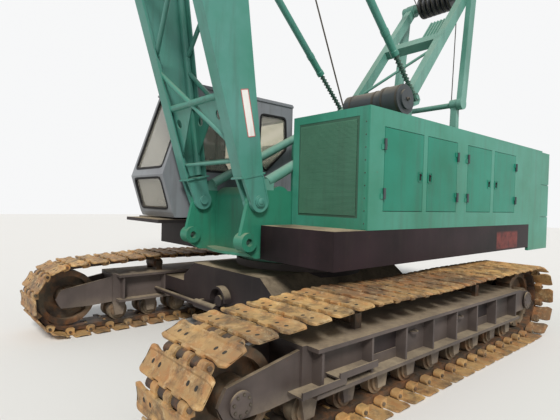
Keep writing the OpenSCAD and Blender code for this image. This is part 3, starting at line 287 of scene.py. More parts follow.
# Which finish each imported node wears; replaced nodes need none
wears = {
    "housePaint": "house_left house_right rear_covers counterweight",
    "doorPaint": "engine_door_1 engine_door_2 engine_door_3 engine_door_4 right_door_1 right_door_2",
    "boomPaint": "boom_base boom_top pendants backstop_tubes",
    "framePaintSunlit": "main_frame",
    "gantryPaint": "low_gantry gantry_legs gantry_rear_links",
    "grillePaint": "radiator_grille",
    "deckPaint": "deck_left",
    "darkFrame": "deck_right catwalk cab_step carbody",
    "sideFrame": "side_frame_left side_frame_right travel_motors slew_ring",
    "wheelSteel": "idlers sprockets track_rollers carrier_rollers",
    "cabPaint": "cab_shell cab_door",
    "cabPane": "cab_glass",
    "controlPlastic": "cab_controls",
    "engineAlu": "engine_block",
    "cleanerBlack": "air_cleaner",
    "springPaint": "backstop_rods",
    "sheaveSteel": "gantry_sheaves boom_head_sheaves hoist_drum_front hoist_drum_rear boom_hoist_drum",
    "hookPaint": "hook_block",
}
for finish, names in wears.items():
    for name in names.split():
        nodes[name].data.materials.clear()
        nodes[name].data.materials.append(materials[finish])
print("finishes on", sum(len(names.split()) for names in wears.values()), "nodes")


# Values of several names in a dictionary
def pick(source, names):
    return [source[name] for name in names.split()]


def unitLength(vectors):
    return vectors / np.linalg.norm(vectors, axis=-1, keepdims=True)


# Points of the unit circle at angles
def onCircle(angle):
    return np.stack([np.cos(angle), np.sin(angle)], -1)


# Distance along a path at each of its points
def runAlong(path):
    return np.concatenate([[0], np.cumsum(np.linalg.norm(np.diff(path, axis=0), axis=1))])


# A shape is (points, four-sided faces, three-sided faces), all numpy arrays, with its faces turned outward
def outward(points, quads, tris):
    corners = np.vstack([quads[:, [0, 1, 2]], quads[:, [0, 2, 3]], tris])
    a, b, c = (points[corners[:, i]] for i in range(3))
    if np.einsum("ij,ij->i", a, np.cross(b, c)).sum() < 0:
        quads, tris = quads[:, ::-1], tris[:, ::-1]
    return points, quads, tris


# Skin over rings of points: each ring is joined to the next by four-sided faces. Open ends are closed
# by fans to their middles; a loop joins its last ring to its first
def loft(rings, loop=False):
    rings = np.asarray(rings, float)
    count, around = rings.shape[:2]
    grid = np.arange(count * around).reshape(count, around)
    here, there = (grid, np.roll(grid, -1, 0)) if loop else (grid[:-1], grid[1:])
    quads = np.stack([here, np.roll(here, -1, 1), np.roll(there, -1, 1), there], -1).reshape(-1, 4)
    points = rings.reshape(-1, 3)
    tris = np.zeros((0, 3), int)
    if not loop:
        middle = len(points)
        points = np.vstack([points, rings[0].mean(0), rings[-1].mean(0)])
        tris = np.vstack([np.stack([np.roll(grid[0], -1), grid[0], np.full(around, middle)], -1),
                          np.stack([grid[-1], np.roll(grid[-1], -1), np.full(around, middle + 1)], -1)])
    return outward(points, quads, tris)


# Several shapes as one, with their face numbers shifted
def join(shapes):
    points, quads, tris = zip(*shapes)
    starts = np.cumsum([0] + [len(part) for part in points])
    return (np.vstack(points), np.vstack([faces + start for faces, start in zip(quads, starts)]),
            np.vstack([faces + start for faces, start in zip(tris, starts)]))


def rectangle(x0, y0, x1, y1):
    return [(x0, y0), (x1, y0), (x1, y1), (x0, y1)]


# Box from its lowest to its highest corner
def boxShape(low, high):
    (x0, y0, z0), (x1, y1, z1) = low, high
    return loft([[(x, y, z) for x, y in rectangle(x0, y0, x1, y1)] for z in (z0, z1)])


# Flat outline carried straight along an axis; axes name the outline's two, then the path's
def prism(outline, start, end, axes="xzy"):
    order = ["xyz".index(letter) for letter in axes]
    rings = np.zeros((2, len(outline), 3))
    rings[:, :, order[0]], rings[:, :, order[1]] = np.array(outline, float).T
    rings[:, :, order[2]] = np.array([start, end])[:, None]
    return loft(rings)


# Round bar: a circle carried from one point to another
def rod(start, end, radius, sides=16):
    return loft(pipeRings([start, end], radius, sides))


# Circles across a path: point + radius (cos a across + sin a over), with both at right angles to the path
def pipeRings(path, radius, sides=8, loop=False):
    path = np.asarray(path, float)
    ahead = unitLength(np.roll(path, -1, 0) - np.roll(path, 1, 0) if loop else np.gradient(path, axis=0))
    side = np.where(np.abs(ahead[:, 1:2]) < 0.9, [[0.0, 1.0, 0.0]], [[0.0, 0.0, 1.0]])
    across = unitLength(np.cross(ahead, side))
    over = np.cross(ahead, across)
    circle = onCircle(np.arange(sides) * 2 * np.pi / sides)
    return path[:, None] + radius * (circle[:, :1] * across[:, None] + circle[:, 1:] * over[:, None])


# Copies of a shape at many places; columns of a frame are the copy's own axes
def placed(shape, origins, frames=None):
    origins = np.atleast_2d(origins)
    frames = np.broadcast_to(np.eye(3) if frames is None else frames, (len(origins), 3, 3))
    points = (origins[:, None] + np.einsum("kij,nj->kni", frames, shape[0])).reshape(-1, 3)
    shift = (np.arange(len(origins)) * len(shape[0]))[:, None, None]
    return points, (shape[1][None] + shift).reshape(-1, 4), (shape[2][None] + shift).reshape(-1, 3)


# Axes of a shape that stands on a normal, its second one upward where that can be
def facing(normal):
    third = unitLength(np.array(normal, float))
    first = unitLength(np.cross((0, 0, 1) if abs(third[2]) < 0.95 else (1, 0, 0), third))
    return np.stack([first, np.cross(third, first), third], 1)


def mirrored(shape):
    points = shape[0] * [1, -1, 1]
    return join([shape, (points, shape[1][:, ::-1], shape[2][:, ::-1])])


def addObject(name, data):
    added = bpy.data.objects.new(name, data)
    bpy.context.scene.collection.objects.link(added)
    return added


def meshObject(name, shape, finish, smooth=0.6, uv=None):
    mesh = bpy.data.meshes.new(name)
    mesh.from_pydata(shape[0].tolist(), [], shape[1].tolist() + shape[2].tolist())
    mesh.materials.append(materials[finish])
    if uv is not None:
        layer = mesh.uv_layers.new(name="lay")
        layer.data.foreach_set("uv", np.asarray(uv, np.float32).ravel())
    mesh.shade_smooth()
    mesh.set_sharp_from_angle(angle=smooth)
    return addObject(name, mesh)


def makePiece(name, shape, finish, body):
    piece = meshObject(name, shape, finish)
    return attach(piece, body)


# Profile of (radius, height) carried round z; a loop is a hollow ring
def roundShape(profile, sides, loop=False):
    circle = onCircle(np.arange(sides) * 2 * np.pi / sides)
    return loft([np.column_stack([r * circle, np.full(sides, h)]) for r, h in profile], loop)


# Turned part: a round shape about an axis through a point
def turned(profile, origin, normal, sides=16, loop=False):
    return placed(roundShape(profile, sides, loop), origin, facing(normal))


# Bolt: a six-sided washer and head, standing on z = 0
def boltShape(size):
    profile = np.array([(1.35, 0.0), (1.35, 0.22), (1.0, 0.22), (1.0, 0.8), (0.86, 0.95)])
    return roundShape(size * profile, 6)


# Tracks, in metres. A link's plate has two ridges along its long edges and bevelled ends; tips give how far
# in, and the shares of width and height there
track = {"gauge": 3.49, "wheelX": 2.33, "idlerR": 0.395, "sprocketR": 0.425, "pitch": 0.24, "outer": 0.045,
         "inner": 0.043, "topZ": 0.9, "sag": 0.022, "carriers": (1.15, -0.95), "shoeWidth": 0.76,
         "low": 0.022, "ridge": 0.012, "bevel": (0.006, 0.005), "ridgeEnd": 0.03, "slopeEnd": 0.042,
         "gap": 0.046, "bandWidth": 0.33, "bandTop": 0.006, "bandMore": 0.004, "knuckleR": 0.036,
         "knuckleHalf": 0.036, "tail": 0.05, "notch": 0.017, "notchMore": 0.004, "frontDrop": 0.002,
         "backDrop": 0.011, "tips": ((0, 0.78, 0.45), (0.012, 0.87, 0.8), (0.034, 0.96, 1), (0.06, 1, 1)),
         "frontKnuckles": (-0.2125, -0.0425, 0.1275), "backKnuckles": (-0.1275, 0.0425, 0.2125),
         "holes": (-0.265, -0.175, 0.175, 0.265), "holeR": (0.017, 0.014), "holeZ": (-0.01, 0.0008),
         "pinHalf": 0.262, "pinR": 0.017}


# Pin line: half circle round the idler, two sagging runs on the carrier rollers, half circle round the
# sprocket and a flat bottom; returns pins spread evenly along it
def trackPins():
    halfRound = onCircle(np.linspace(-np.pi / 2, np.pi / 2, 15))
    wheelX, idlerR, sprocketR, outer, topZ = pick(track, "wheelX idlerR sprocketR outer topZ")
    front = idlerR * halfRound + [wheelX, idlerR + outer]
    back = -sprocketR * halfRound + [-wheelX, sprocketR + outer]
    first, last = track["carriers"]
    top = [(first, topZ), ((first + last) / 2, topZ - track["sag"]), (last, topZ)]
    line = np.vstack([front, top, back, [(wheelX, outer)]])
    run = runAlong(line)
    count = round(run[-1] / track["pitch"])
    at = np.arange(count) * run[-1] / count
    return np.stack([np.interp(at, run, line[:, 0]), np.interp(at, run, line[:, 1])], 1), run[-1] / count


# Plate: its cross-section is carried across the track, narrower and lower at the bevelled ends, and its
# long edges are cut back where the next link's knuckles lie
def shoeShape(pitch):
    top, low, slope, ridgeEnd, ridge = pick(track, "outer low slopeEnd ridgeEnd ridge")
    half, (inward, down) = (pitch - track["gap"]) / 2, track["bevel"]
    side = [(-half, low), (-half, top - down), (-half + inward, top), (-half + ridgeEnd, top),
            (-half + slope, top - ridge)]
    outline = np.array(side + [(-x, z) for x, z in side[::-1]])
    ends = track["shoeWidth"] / 2
    reach = track["knuckleHalf"] + track["notchMore"]
    knuckles = enumerate(pick(track, "frontKnuckles backKnuckles"))
    stations = [(y + end, 1, 1, front, 1 - front) for front, ys in knuckles for y in ys
                for end in (-reach, reach)]
    tips = [(-ends + inward, narrow, drop, 0, 0) for inward, narrow, drop in track["tips"]]
    stations = tips + sorted(stations) + [(-tip[0], *tip[1:]) for tip in tips[::-1]]
    rings = []
    for y, narrow, drop, front, back in stations:
        t = np.clip(outline[:, 0] * narrow, -half + back * track["notch"], half - front * track["notch"])
        rings.append(np.stack([t, np.full(len(t), y), low + (outline[:, 1] - low) * drop], 1))
    return loft(rings)


# Knuckle: a half round about the pin with a tail running back under the plate
def knuckleShape(pitch, way, place, drop):
    radius, half, back = track["knuckleR"], pitch / 2, way * (pitch / 2 - track["tail"])
    nose = (radius * onCircle(np.linspace(-np.pi / 2, np.pi / 2, 7)) + [half, 0]) * [way, 1]
    outline = np.vstack([[(back, -radius)], nose, [(back, radius)]])
    reach = track["knuckleHalf"]
    return prism(outline - [0, drop], place - reach, place + reach)


# One side's shoes, links, holes and pins about y = 0: each link stands midway between two pins, along them
def trackShape():
    pins, pitch = trackPins()
    onward = unitLength(np.roll(pins, -1, 0) - pins)
    middle = (pins + np.roll(pins, -1, 0)) / 2
    frames = np.zeros((len(pins), 3, 3))
    frames[:, 0, 0], frames[:, 2, 0] = onward.T
    frames[:, 1, 1] = -1
    frames[:, 0, 2], frames[:, 2, 2] = onward[:, 1], -onward[:, 0]
    origins = np.stack([middle[:, 0], np.zeros(len(pins)), middle[:, 1]], 1)
    long, band = (pitch - track["gap"]) / 2 + track["bandMore"], track["bandWidth"] / 2
    # Band and back knuckles wear the dark link steel: painted shade in the slots between the plates
    body = [boxShape((-long, -band, -track["inner"]), (long, band, track["bandTop"]))]
    body += [knuckleShape(pitch, -1, place, track["backDrop"]) for place in track["backKnuckles"]]
    link = [shoeShape(pitch)]
    link += [knuckleShape(pitch, 1, place, track["frontDrop"]) for place in track["frontKnuckles"]]
    ring = onCircle(np.arange(10) * np.pi / 5) * track["holeR"]
    low, high = (track["outer"] - track["ridge"] + z for z in track["holeZ"])
    # Each hole is a black cap reaching just above the plate: painted shade of the hole's inside
    holes = join([prism(ring + [0, y], low, high, "xyz") for y in track["holes"]])
    bars = rod((pitch / 2, -track["pinHalf"], 0), (pitch / 2, track["pinHalf"], 0), track["pinR"], 8)
    return [placed(shape, origins, frames) for shape in (join(link), join(body), holes, bars)]


# Pieces of a track: name, finish and slot; the shoes stand for the imported loop. The links' dark steel is
# painted shade in the slots between plates
trackPieces = (("track_shoes_", "trackSteel", "track_steel"), ("track_links_", "linkSteelPaintedShade", "track_steel"),
               # Hole caps in black: painted shade inside the shoes' holes
               ("shoe_hole_shade_", "rubber", "track_steel"), ("chain_pins_", "wheelSteel", "wheel_steel"))
trackShapes = trackShape()
for side, y in (("left", track["gauge"] / 2), ("right", -track["gauge"] / 2)):
    for shape, (name, finish, slotName) in zip(trackShapes, trackPieces):
        piece = makePiece(name + side, placed(shape, (0, y, 0)), finish, "undercarriage")
        if name == "track_shoes_":
            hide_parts("track_" + side)
print("tracks:", len(trackShapes[0][0]), "points each")


# Rope along each of its paths. It carries a map of (round, metres along)
def ropeObject(name, paths, radius, sides=8, loop=False):
    shapes, quadMaps, triMaps = [], [], []
    for path in paths:
        path = np.asarray(path, float)
        shapes.append(loft(pipeRings(path, radius, sides, loop), loop))
        run = runAlong(path)
        if loop:
            run = np.append(run, run[-1] + np.linalg.norm(path[0] - path[-1]))
        start, end = np.repeat(run[:-1], sides), np.repeat(run[1:], sides)
        around = np.tile(np.arange(sides) / sides, len(run) - 1)
        after = around + 1 / sides
        corners = (around, start), (after, start), (after, end), (around, end)
        quadMaps.append(np.array(corners).transpose(2, 0, 1).reshape(-1, 2))
        triMaps.append(np.zeros((len(shapes[-1][2]) * 3, 2)))
    piece = meshObject(name, join(shapes), "ropeSteel", 3.0, np.vstack(quadMaps + triMaps))
    return piece


# Path in a plane of constant y from its points in x and z
def atY(flat, y):
    return np.stack([flat[:, 0], np.broadcast_to(y, len(flat)), flat[:, 1]], 1)


# Loop of rope round two equal sheaves: two straight runs and two half circles
def racetrack(first, second, radius, y, steps=20):
    first, second = np.array(first, float), np.array(second, float)
    along = unitLength(second - first)
    up = np.array([-along[1], along[0]])
    straight = np.linspace(0, 1, steps, endpoint=False)[:, None]
    turn = np.linspace(0, np.pi, 13)[:-1, None]
    parts = [first + radius * up + straight * (second - first),
             second + radius * (np.cos(turn) * up + np.sin(turn) * along),
             second - radius * up + straight * (first - second),
             first - radius * (np.cos(turn) * up + np.sin(turn) * along)]
    return atY(np.vstack(parts), y)


boomFrame = {"foot": (1.146, 1.681), "tilt": math.radians(77), "length": 10.0, "headV": 0.42,
             "pendV": -0.06, "guideU": 9.6, "guideV": -0.3}
boomUp = (math.cos(boomFrame["tilt"]), 0, math.sin(boomFrame["tilt"]))
boomFore = (math.sin(boomFrame["tilt"]), 0, -math.cos(boomFrame["tilt"]))


# Point of the boom's side plane in x and z, from distance up the boom and distance forward of its line
def onBoom(u, v):
    return np.array([boomFrame["foot"][i // 2] + u * boomUp[i] + v * boomFore[i] for i in (0, 2)])


ropes = {"apex": (-3.28, 5.28), "bridleAt": 3.6, "luffRadius": 0.008, "luffWrap": 0.1843,
         "luffSpacing": 0.09, "blendIn": 0.35, "hoistRadius": 0.011, "hoistWrap": 0.215, "hoistY": -0.15,
         "drum": (-1.5, 1.5), "fallRadius": 0.009, "fallX": 0.1953, "fallLength": 3.2, "fallSpacing": 0.095}

apex = np.array(ropes["apex"])
pendantTop = onBoom(boomFrame["length"], boomFrame["pendV"])
lineWay = unitLength(pendantTop - apex)
bridle = apex + ropes["bridleAt"] * lineWay
reeving = [racetrack(apex, bridle, ropes["luffWrap"], i * ropes["luffSpacing"]) for i in range(-3, 4)]
luffing = ropeObject("luffing_reeving", reeving, ropes["luffRadius"], 8, True)
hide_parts("luffing_ropes")
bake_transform(luffing)

drum = np.array(ropes["drum"])
guide = onBoom(boomFrame["guideU"], boomFrame["guideV"])
head = onBoom(boomFrame["length"], boomFrame["headV"])
hoistWay = unitLength(guide - drum)
hoistUp = np.array([-hoistWay[1], hoistWay[0]])
share = np.linspace(0, 1, 40)[:, None]
flat = drum + ropes["hoistWrap"] * hoistUp + share * (guide - drum)
hoistLine = ropeObject("hoist_line", [atY(flat, ropes["hoistY"])], ropes["hoistRadius"])
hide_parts("hoist_rope_lower", "hoist_rope_upper")
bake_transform(hoistLine)


# Arc about a centre in the side plane, from one direction to another by the shorter way
def arcBetween(centre, radius, start, end, steps):
    first, last = math.atan2(start[1], start[0]), math.atan2(end[1], end[0])
    last = first + (last - first + math.pi) % (2 * math.pi) - math.pi
    turn = np.linspace(first, last, steps)
    return centre + radius * onCircle(turn)


headWay = unitLength(head - guide)
headUp = np.array([-headWay[1], headWay[0]])
tipFlat = np.vstack([arcBetween(guide, ropes["hoistWrap"], hoistUp, headUp, 8),
                     arcBetween(head, ropes["fallX"], headUp, (1.0, 0.0), 12)])
tipY = np.interp(np.arange(20), [7, 8], [ropes["hoistY"], -2 * ropes["fallSpacing"]])
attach(ropeObject("tip_line", [atY(tipFlat, tipY)], ropes["hoistRadius"]), "boom")

block = head - [0, ropes["fallLength"]]
fallPaths = [racetrack(block, head, ropes["fallX"], i * ropes["fallSpacing"], 3) for i in range(-2, 3)]
falls = ropeObject("hoist_falls", fallPaths, ropes["fallRadius"], 8, True)
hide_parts("hook_falls")
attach(falls, "hook")
print("ropes in place")


# Rope wound on a drum: a helix about a line along y, radius and pitch given
def windings(centre, radius, pitch, reach, steps=24):
    turns = int(2 * reach / pitch)
    angle = np.linspace(0, turns * 2 * np.pi, turns * steps)
    return atY(centre + radius * onCircle(angle), np.linspace(-reach, reach, len(angle)))


# Drums: centre in x and z, winding radius and pitch, half length wound, rope radius
drums = {"front": ((-1.5, 1.5), 0.215, 0.0225, 0.34, 0.011),
         "rear": ((-2.33, 1.5), 0.215, 0.0225, 0.34, 0.011),
         "boom": ((-3.08, 1.44), 0.1785, 0.0175, 0.34, 0.0082)}
for name, (centre, radius, pitch, reach, thick) in drums.items():
    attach(ropeObject("wound_rope_" + name, [windings(centre, radius, pitch, reach)], thick, 6), "upper")

# The luffing rope climbs from its drum's rear side to the apex sheaves
(climbX, climbZ), climbR = drums["boom"][:2]
climbY = 0.27
climb = np.linspace([climbX - climbR, climbY, climbZ], [apex[0] - ropes["luffWrap"], climbY, apex[1]], 12)
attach(ropeObject("boom_hoist_line", [climb], ropes["luffRadius"], 6), "upper")
print("drums wound")


# Path with rounded corners: each gives way to a curve between points on its two sides
def rounded(points, corner, steps, closed=True):
    points = np.array(points, float)
    before, after = np.roll(points, 1, 0) - points, np.roll(points, -1, 0) - points
    back, onward = np.linalg.norm([before, after], axis=2)[..., None]
    reach = np.minimum(corner, 0.45 * np.minimum(back, onward))
    start, end = (points + before / back * reach)[:, None], (points + after / onward * reach)[:, None]
    t = np.linspace(0, 1, steps)[None, :, None]
    path = (1 - t) ** 2 * start + 2 * t * (1 - t) * points[:, None] + t ** 2 * end
    if closed:
        return path.reshape(-1, points.shape[1])
    return np.vstack([points[:1], *path[1:-1], points[-1:]])


# Closed band along a flat outline: a rectangle (width in the plane, depth across it) is carried round it
def frameLoop(outline, origin, first, second, width, depth, corner=0.06, steps=5):
    path = rounded(outline, corner, steps)
    ahead = unitLength(np.roll(path, -1, 0) - np.roll(path, 1, 0))
    aside = np.stack([ahead[:, 1], -ahead[:, 0]], 1)
    axes, third = np.array([first, second], float), np.cross(first, second)
    rings = [np.array(origin) + (path + across * width * aside) @ axes + deep * depth * third
             for across, deep in ((-0.5, -0.5), (0.5, -0.5), (0.5, 0.5), (-0.5, 0.5))]
    return loft(np.stack(rings, 1), loop=True)


# Curved pipe through a few corner points, each rounded like a bent bar
def bentPipe(points, radius, bend=0.05, sides=10):
    return loft(pipeRings(rounded(points, bend, 6, False), radius, sides))


# Cab: walls and front slopes, then the windows' outlines as (x, z) or their limits
cab = {"nearWall": -0.72, "farWall": -1.58, "sealWidth": 0.027, "sealDepth": 0.05, "nose": 1.57,
       "brow": 1.975, "roofX": 1.18, "top": 3.12, "toe": (1.43, 1.52), "screenY": (-1.52, -0.78),
       "screenZ": (2.06, 3.04), "lowZ": (1.57, 1.945), "sealIn": 0.02, "screenCorner": 0.07,
       "rearX": -0.47, "rear": (-1.48, 2.15, -0.82, 2.9), "door": (0.27, 2.12, 0.87, 2.88),
       "side": [(0.13, 2.26), (0.112, 2.9), (-0.35, 2.905), (-0.38, 2.45), (0.01, 2.1)],
       "front": [(0.3, 2.05), (1.3, 2.05), (1.06, 2.96), (0.3, 2.96)]}


# Place of the cab's front at a height: it leans out from the toe to the brow and back to the roof
def frontX(z):
    toeX, toeZ = cab["toe"]
    return float(np.interp(z, [toeZ, cab["brow"], cab["top"]], [toeX, cab["nose"], cab["roofX"]]))


def sealLoop(outline, origin, first=(1, 0, 0), second=(0, 0, 1), corner=0.06):
    return frameLoop(outline, origin, first, second, cab["sealWidth"], cab["sealDepth"], corner)


# Seal of a sloping front screen: the plane's upward axis follows the slope
def screenSeal(low, high):
    rise = np.array([frontX(high) - frontX(low), 0, high - low])
    length = np.linalg.norm(rise)
    y0, y1 = cab["screenY"]
    start = (frontX(low) - cab["sealIn"], 0, low)
    return sealLoop(rectangle(y0, 0, y1, length), start, (0, 1, 0), rise / length, cab["screenCorner"])


near, far = (0, cab["nearWall"], 0), (0, cab["farWall"], 0)
seals = [sealLoop(cab["side"], near), sealLoop(cab["front"], near), sealLoop(cab["side"], far),
         screenSeal(*cab["screenZ"]), screenSeal(*cab["lowZ"]),
         sealLoop(rectangle(*cab["rear"]), (cab["rearX"], 0, 0), (0, 1, 0))]
makePiece("cab_seals", join(seals), "rubber", "upper")
makePiece("door_seal", sealLoop(rectangle(*cab["door"]), far), "rubber", "cab_door")

# Small parts of the cab. Rails are (x, top), gutters two corners in x and y
cabBits = {"rails": ((1.03, 2.55), (0.1, 2.05)), "railY": (-1.598, -1.66), "railLow": 1.75, "flare": 0.02,
           "railR": 0.014, "gutterZ": (3.075, 3.1),
           "gutters": ((-0.49, -0.702, 1.19, -0.684), (-0.49, -1.616, 1.19, -1.598),
                       (1.185, -1.6, 1.215, -0.7), (-0.508, -1.6, -0.488, -0.7)),
           "plate": ((0.84, -1.612, 1.98), (0.93, -1.598, 2.03)), "handleR": 0.009, "handleBend": 0.02,
           "handle": ((0.86, -1.6, 2.0), (0.86, -1.635, 2.0), (0.93, -1.635, 2.0)), "lean": (-0.16, 0, 1),
           "knob": ((0.006, -0.02), (0.02, -0.014), (0.027, 0.004), (0.024, 0.022), (0.01, 0.032)),
           "knobAt": (0.72, -0.82, 2.205), "knobStep": 0.11, "gaugeAt": (0.8, -0.87, 1.96),
           "gauge": ((0.04, 0), (0.04, 0.006), (0.034, 0.008), (0.03, 0.004)), "gaugeStep": 0.1,
           "pedals": (-1.3, -1.14), "pedal": ((1.2, 1.5), (1.24, 1.5), (1.34, 1.66), (1.32, 1.67)),
           "pedalWidth": 0.09}


# Four equal turned parts side by side along x
def rowOf(profile, at, step, way, sides):
    return [turned(profile, (at[0] + i * step, at[1], at[2]), way, sides) for i in range(4)]


def cabTrim():
    (wall, away), low, flare, radius = pick(cabBits, "railY railLow flare railR")
    rails = [[(x, wall, low), (x, away, low + flare), (x, away, top), (x, wall, top + flare)]
             for x, top in cabBits["rails"]]
    rails = [bentPipe(rail, radius) for rail in rails]
    makePiece("grab_rails", join(rails), "cabPaint", "upper")
    z0, z1 = cabBits["gutterZ"]
    gutters = [boxShape((x0, y0, z0), (x1, y1, z1)) for x0, y0, x1, y1 in cabBits["gutters"]]
    makePiece("roof_gutter", join(gutters), "cabPaint", "upper")
    bar = bentPipe(*pick(cabBits, "handle handleR handleBend"), 8)
    handle = join([boxShape(*cabBits["plate"]), bar])
    makePiece("cab_door_handle", handle, "rubber", "cab_door")
    knobs = rowOf(*pick(cabBits, "knob knobAt knobStep lean"), 12)
    makePiece("lever_knobs", join(knobs), "rubber", "upper")
    gauges = rowOf(*pick(cabBits, "gauge gaugeAt gaugeStep"), (0, 0, 1), 16)
    pedals = [prism(cabBits["pedal"], y, y + cabBits["pedalWidth"]) for y in cabBits["pedals"]]
    makePiece("gauges_and_pedals", join(gauges + pedals), "controlPlastic", "upper")


cabTrim()

# Cushions: low and high corner in x and z, half width, then their channels: axis, places and face.
# Stand: plates as (x from, x to, half width, z from, z to)
seat = {"middle": -1.2, "cap": 0.012, "voxel": 0.006, "pressure": 4.0, "frames": 20, "threads": 1500.0,
        "cushions": {"seat_pad": ((0.0, 1.8), (0.54, 1.93), 0.22, 0, (0.2, 0.36), 2),
                     "back_pad": ((-0.06, 1.935), (0.07, 2.36), 0.21, 2, (2.08, 2.22), 0),
                     "head_pad": ((-0.055, 2.4), (0.055, 2.56), 0.14, 2, (), 0)},
        "bootX": (0.08, 0.44), "bootHalf": 0.17, "bootZ": (1.53, 1.775), "folds": 13, "foldIn": 0.022,
        "plates": ((0.06, 0.46, 0.19, 1.5005, 1.532), (0.04, 0.5, 0.19, 1.77, 1.8)),
        "post": (-0.005, 0.08), "postZ": (2.3, 2.45), "postR": 0.008}


# Seat cloth: fine crossing threads worked from place, no map needed
def makeSeatCloth():
    material, tree, surface = newMaterial("seatCloth", {"Roughness": 0.93, "Sheen Weight": 0.25})
    at = coords(tree)
    parts = split(tree, at)
    across = calc(tree, "SINE", times(tree, parts["Y"], seat["threads"]))
    along = calc(tree, "SINE", times(tree, calc(tree, "ADD", parts["X"], parts["Z"]), seat["threads"]))
    weave = ramp(tree, times(tree, across, along), -1.0, 1.0)
    worn = ramp(tree, noise(tree, at, 9.0, 4.0), 0.35, 0.7, 0.0, 0.35)
    colour = mixColour(tree, weave, srgb(40, 40, 44), srgb(66, 66, 70))
    colour = mixColour(tree, worn, colour, srgb(96, 92, 84))
    tree.links.new(colour, surface.inputs["Base Color"])
    addBump(tree, surface, weave, 0.4, 0.0008)
    return material


materials["seatCloth"] = makeSeatCloth()


# Cushion before it is filled: a rounded box, its sections following powers of cos and sin
def cushionShape(low, high, around=48, up=20, roundness=0.34):
    low, high = np.array(low, float), np.array(high, float)
    half = (high - low) / 2 - seat["cap"] * 0.9
    turn = np.arange(around) * 2 * np.pi / around
    rise = np.linspace(-np.pi / 2, np.pi / 2, up + 2)[1:-1]

    def power(value):
        return np.sign(value) * np.abs(value) ** roundness

    flat = np.abs(np.cos(rise)) ** roundness
    rings = np.stack([half[0] * flat[:, None] * power(np.cos(turn)),
                      half[1] * flat[:, None] * power(np.sin(turn)),
                      np.broadcast_to(half[2] * power(np.sin(rise))[:, None], (up, around))], 2)
    return loft(rings + (low + high) / 2)


def evaluated(piece):
    return piece.evaluated_get(bpy.context.evaluated_depsgraph_get())


def pointsOf(mesh):
    flat = np.empty(len(mesh.vertices) * 3)
    mesh.vertices.foreach_get("co", flat)
    return flat.reshape(-1, 3)


# Fills a cushion: even small faces, then cloth blown up from inside, no point moving further than the cap
def fillCushion(piece):
    remesh = piece.modifiers.new("even", "REMESH")
    remesh.mode, remesh.voxel_size = "VOXEL", seat["voxel"]
    even = bpy.data.meshes.new_from_object(evaluated(piece))
    piece.modifiers.clear()
    piece.data = even
    cloth = piece.modifiers.new("cloth", "CLOTH")
    cloth.settings.quality = 5
    cloth.settings.use_pressure = True
    cloth.settings.uniform_pressure_force = seat["pressure"]
    cloth.settings.effector_weights.gravity = 0.0
    cloth.point_cache.frame_start, cloth.point_cache.frame_end = 1, seat["frames"]
    for number in range(1, seat["frames"] + 1):
        bpy.context.scene.frame_set(number)
    rest = pointsOf(even)
    shift = pointsOf(evaluated(piece).data) - rest
    shift *= np.minimum(1, seat["cap"] / np.maximum(np.linalg.norm(shift, axis=1, keepdims=True), 1e-9))
    piece.modifiers.clear()
    bpy.context.scene.frame_set(1)
    return rest + shift


# Sewn channels: the surface sinks along lines across the cushion's front, by a bell curve of the distance
def sewChannels(points, axis, places, face, depth=0.007, width=0.007):
    sink = sum(np.exp(-((points[:, axis] - place) / width) ** 2) for place in places)
    middle = points[:, face].mean()
    reach = np.abs(points[:, face] - middle).max()
    points[:, face] -= depth * sink * np.clip((points[:, face] - middle) / reach, 0, 1)
    return points


def makeCushion(name, low, high, axis, places, face):
    piece = meshObject(name, cushionShape(low, high), "seatCloth", 3.0)
    points = fillCushion(piece)
    points = sewChannels(points, axis, places, face)
    piece.data.vertices.foreach_set("co", points.ravel())
    piece.data.update()
    piece.data.shade_smooth()
    smooth = piece.modifiers.new("smooth", "SUBSURF")
    smooth.levels = smooth.render_levels = 1
    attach(piece, "upper")
    return piece


middle = seat["middle"]
for name, ((x0, z0), (x1, z1), half, *sewing) in seat["cushions"].items():
    cushion = makeCushion(name, (x0, middle - half, z0), (x1, middle + half, z1), *sewing)
    if name == "seat_pad":
        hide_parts("cab_seat")


# Seat stand: a folded boot between two plates, its sections stepping in and out, and the head pad's posts
def seatStand():
    (x0, x1), half = pick(seat, "bootX bootHalf")
    rings = []
    for i, z in enumerate(np.linspace(*seat["bootZ"], seat["folds"])):
        d = i % 2 * seat["foldIn"]
        section = rectangle(x0 + d, middle - half + d, x1 - d, middle + half - d)
        rings.append([(x, y, z) for x, y in section])
    plates = [boxShape((low, middle - side, z0), (high, middle + side, z1))
              for low, high, side, z0, z1 in seat["plates"]]
    (x, out), (z0, z1), radius = pick(seat, "post postZ postR")
    posts = [rod((x, y, z0), (x, y, z1), radius, 8) for y in (middle - out, middle + out)]
    whole = join([loft(rings)] + plates + posts)
    makePiece("seat_stand", whole, "controlPlastic", "upper")


seatStand()
print("cab dressed")

# House trim: mesh over the radiator grille, corner strip with its bolts, and door latches
house = {"front": 0.668, "side": 1.603, "meshIn": 0.028, "meshStep": 0.0115, "meshOut": 0.001,
         "wire": 0.0026, "stripY": (1.538, 1.584), "stripZ": (1.445, 2.588), "stripOut": 0.004,
         "boltZ": (1.5, 2.56), "boltStep": 0.118, "boltSize": 0.0052, "latchZ": 1.98,
         "rimHalf": (0.038, 0.052), "rimWidth": 0.009, "rimDepth": 0.012, "paddleHalf": (0.012, 0.034),
         "paddleY": (-0.001, 0.007), "keyAt": (0.006, 0.018),
         "key": ((0.009, 0), (0.009, 0.01), (0.005, 0.012)),
         "latches": {"engine_door_1": -0.205, "engine_door_2": -0.395, "engine_door_3": -1.865,
                     "engine_door_4": -2.085}}


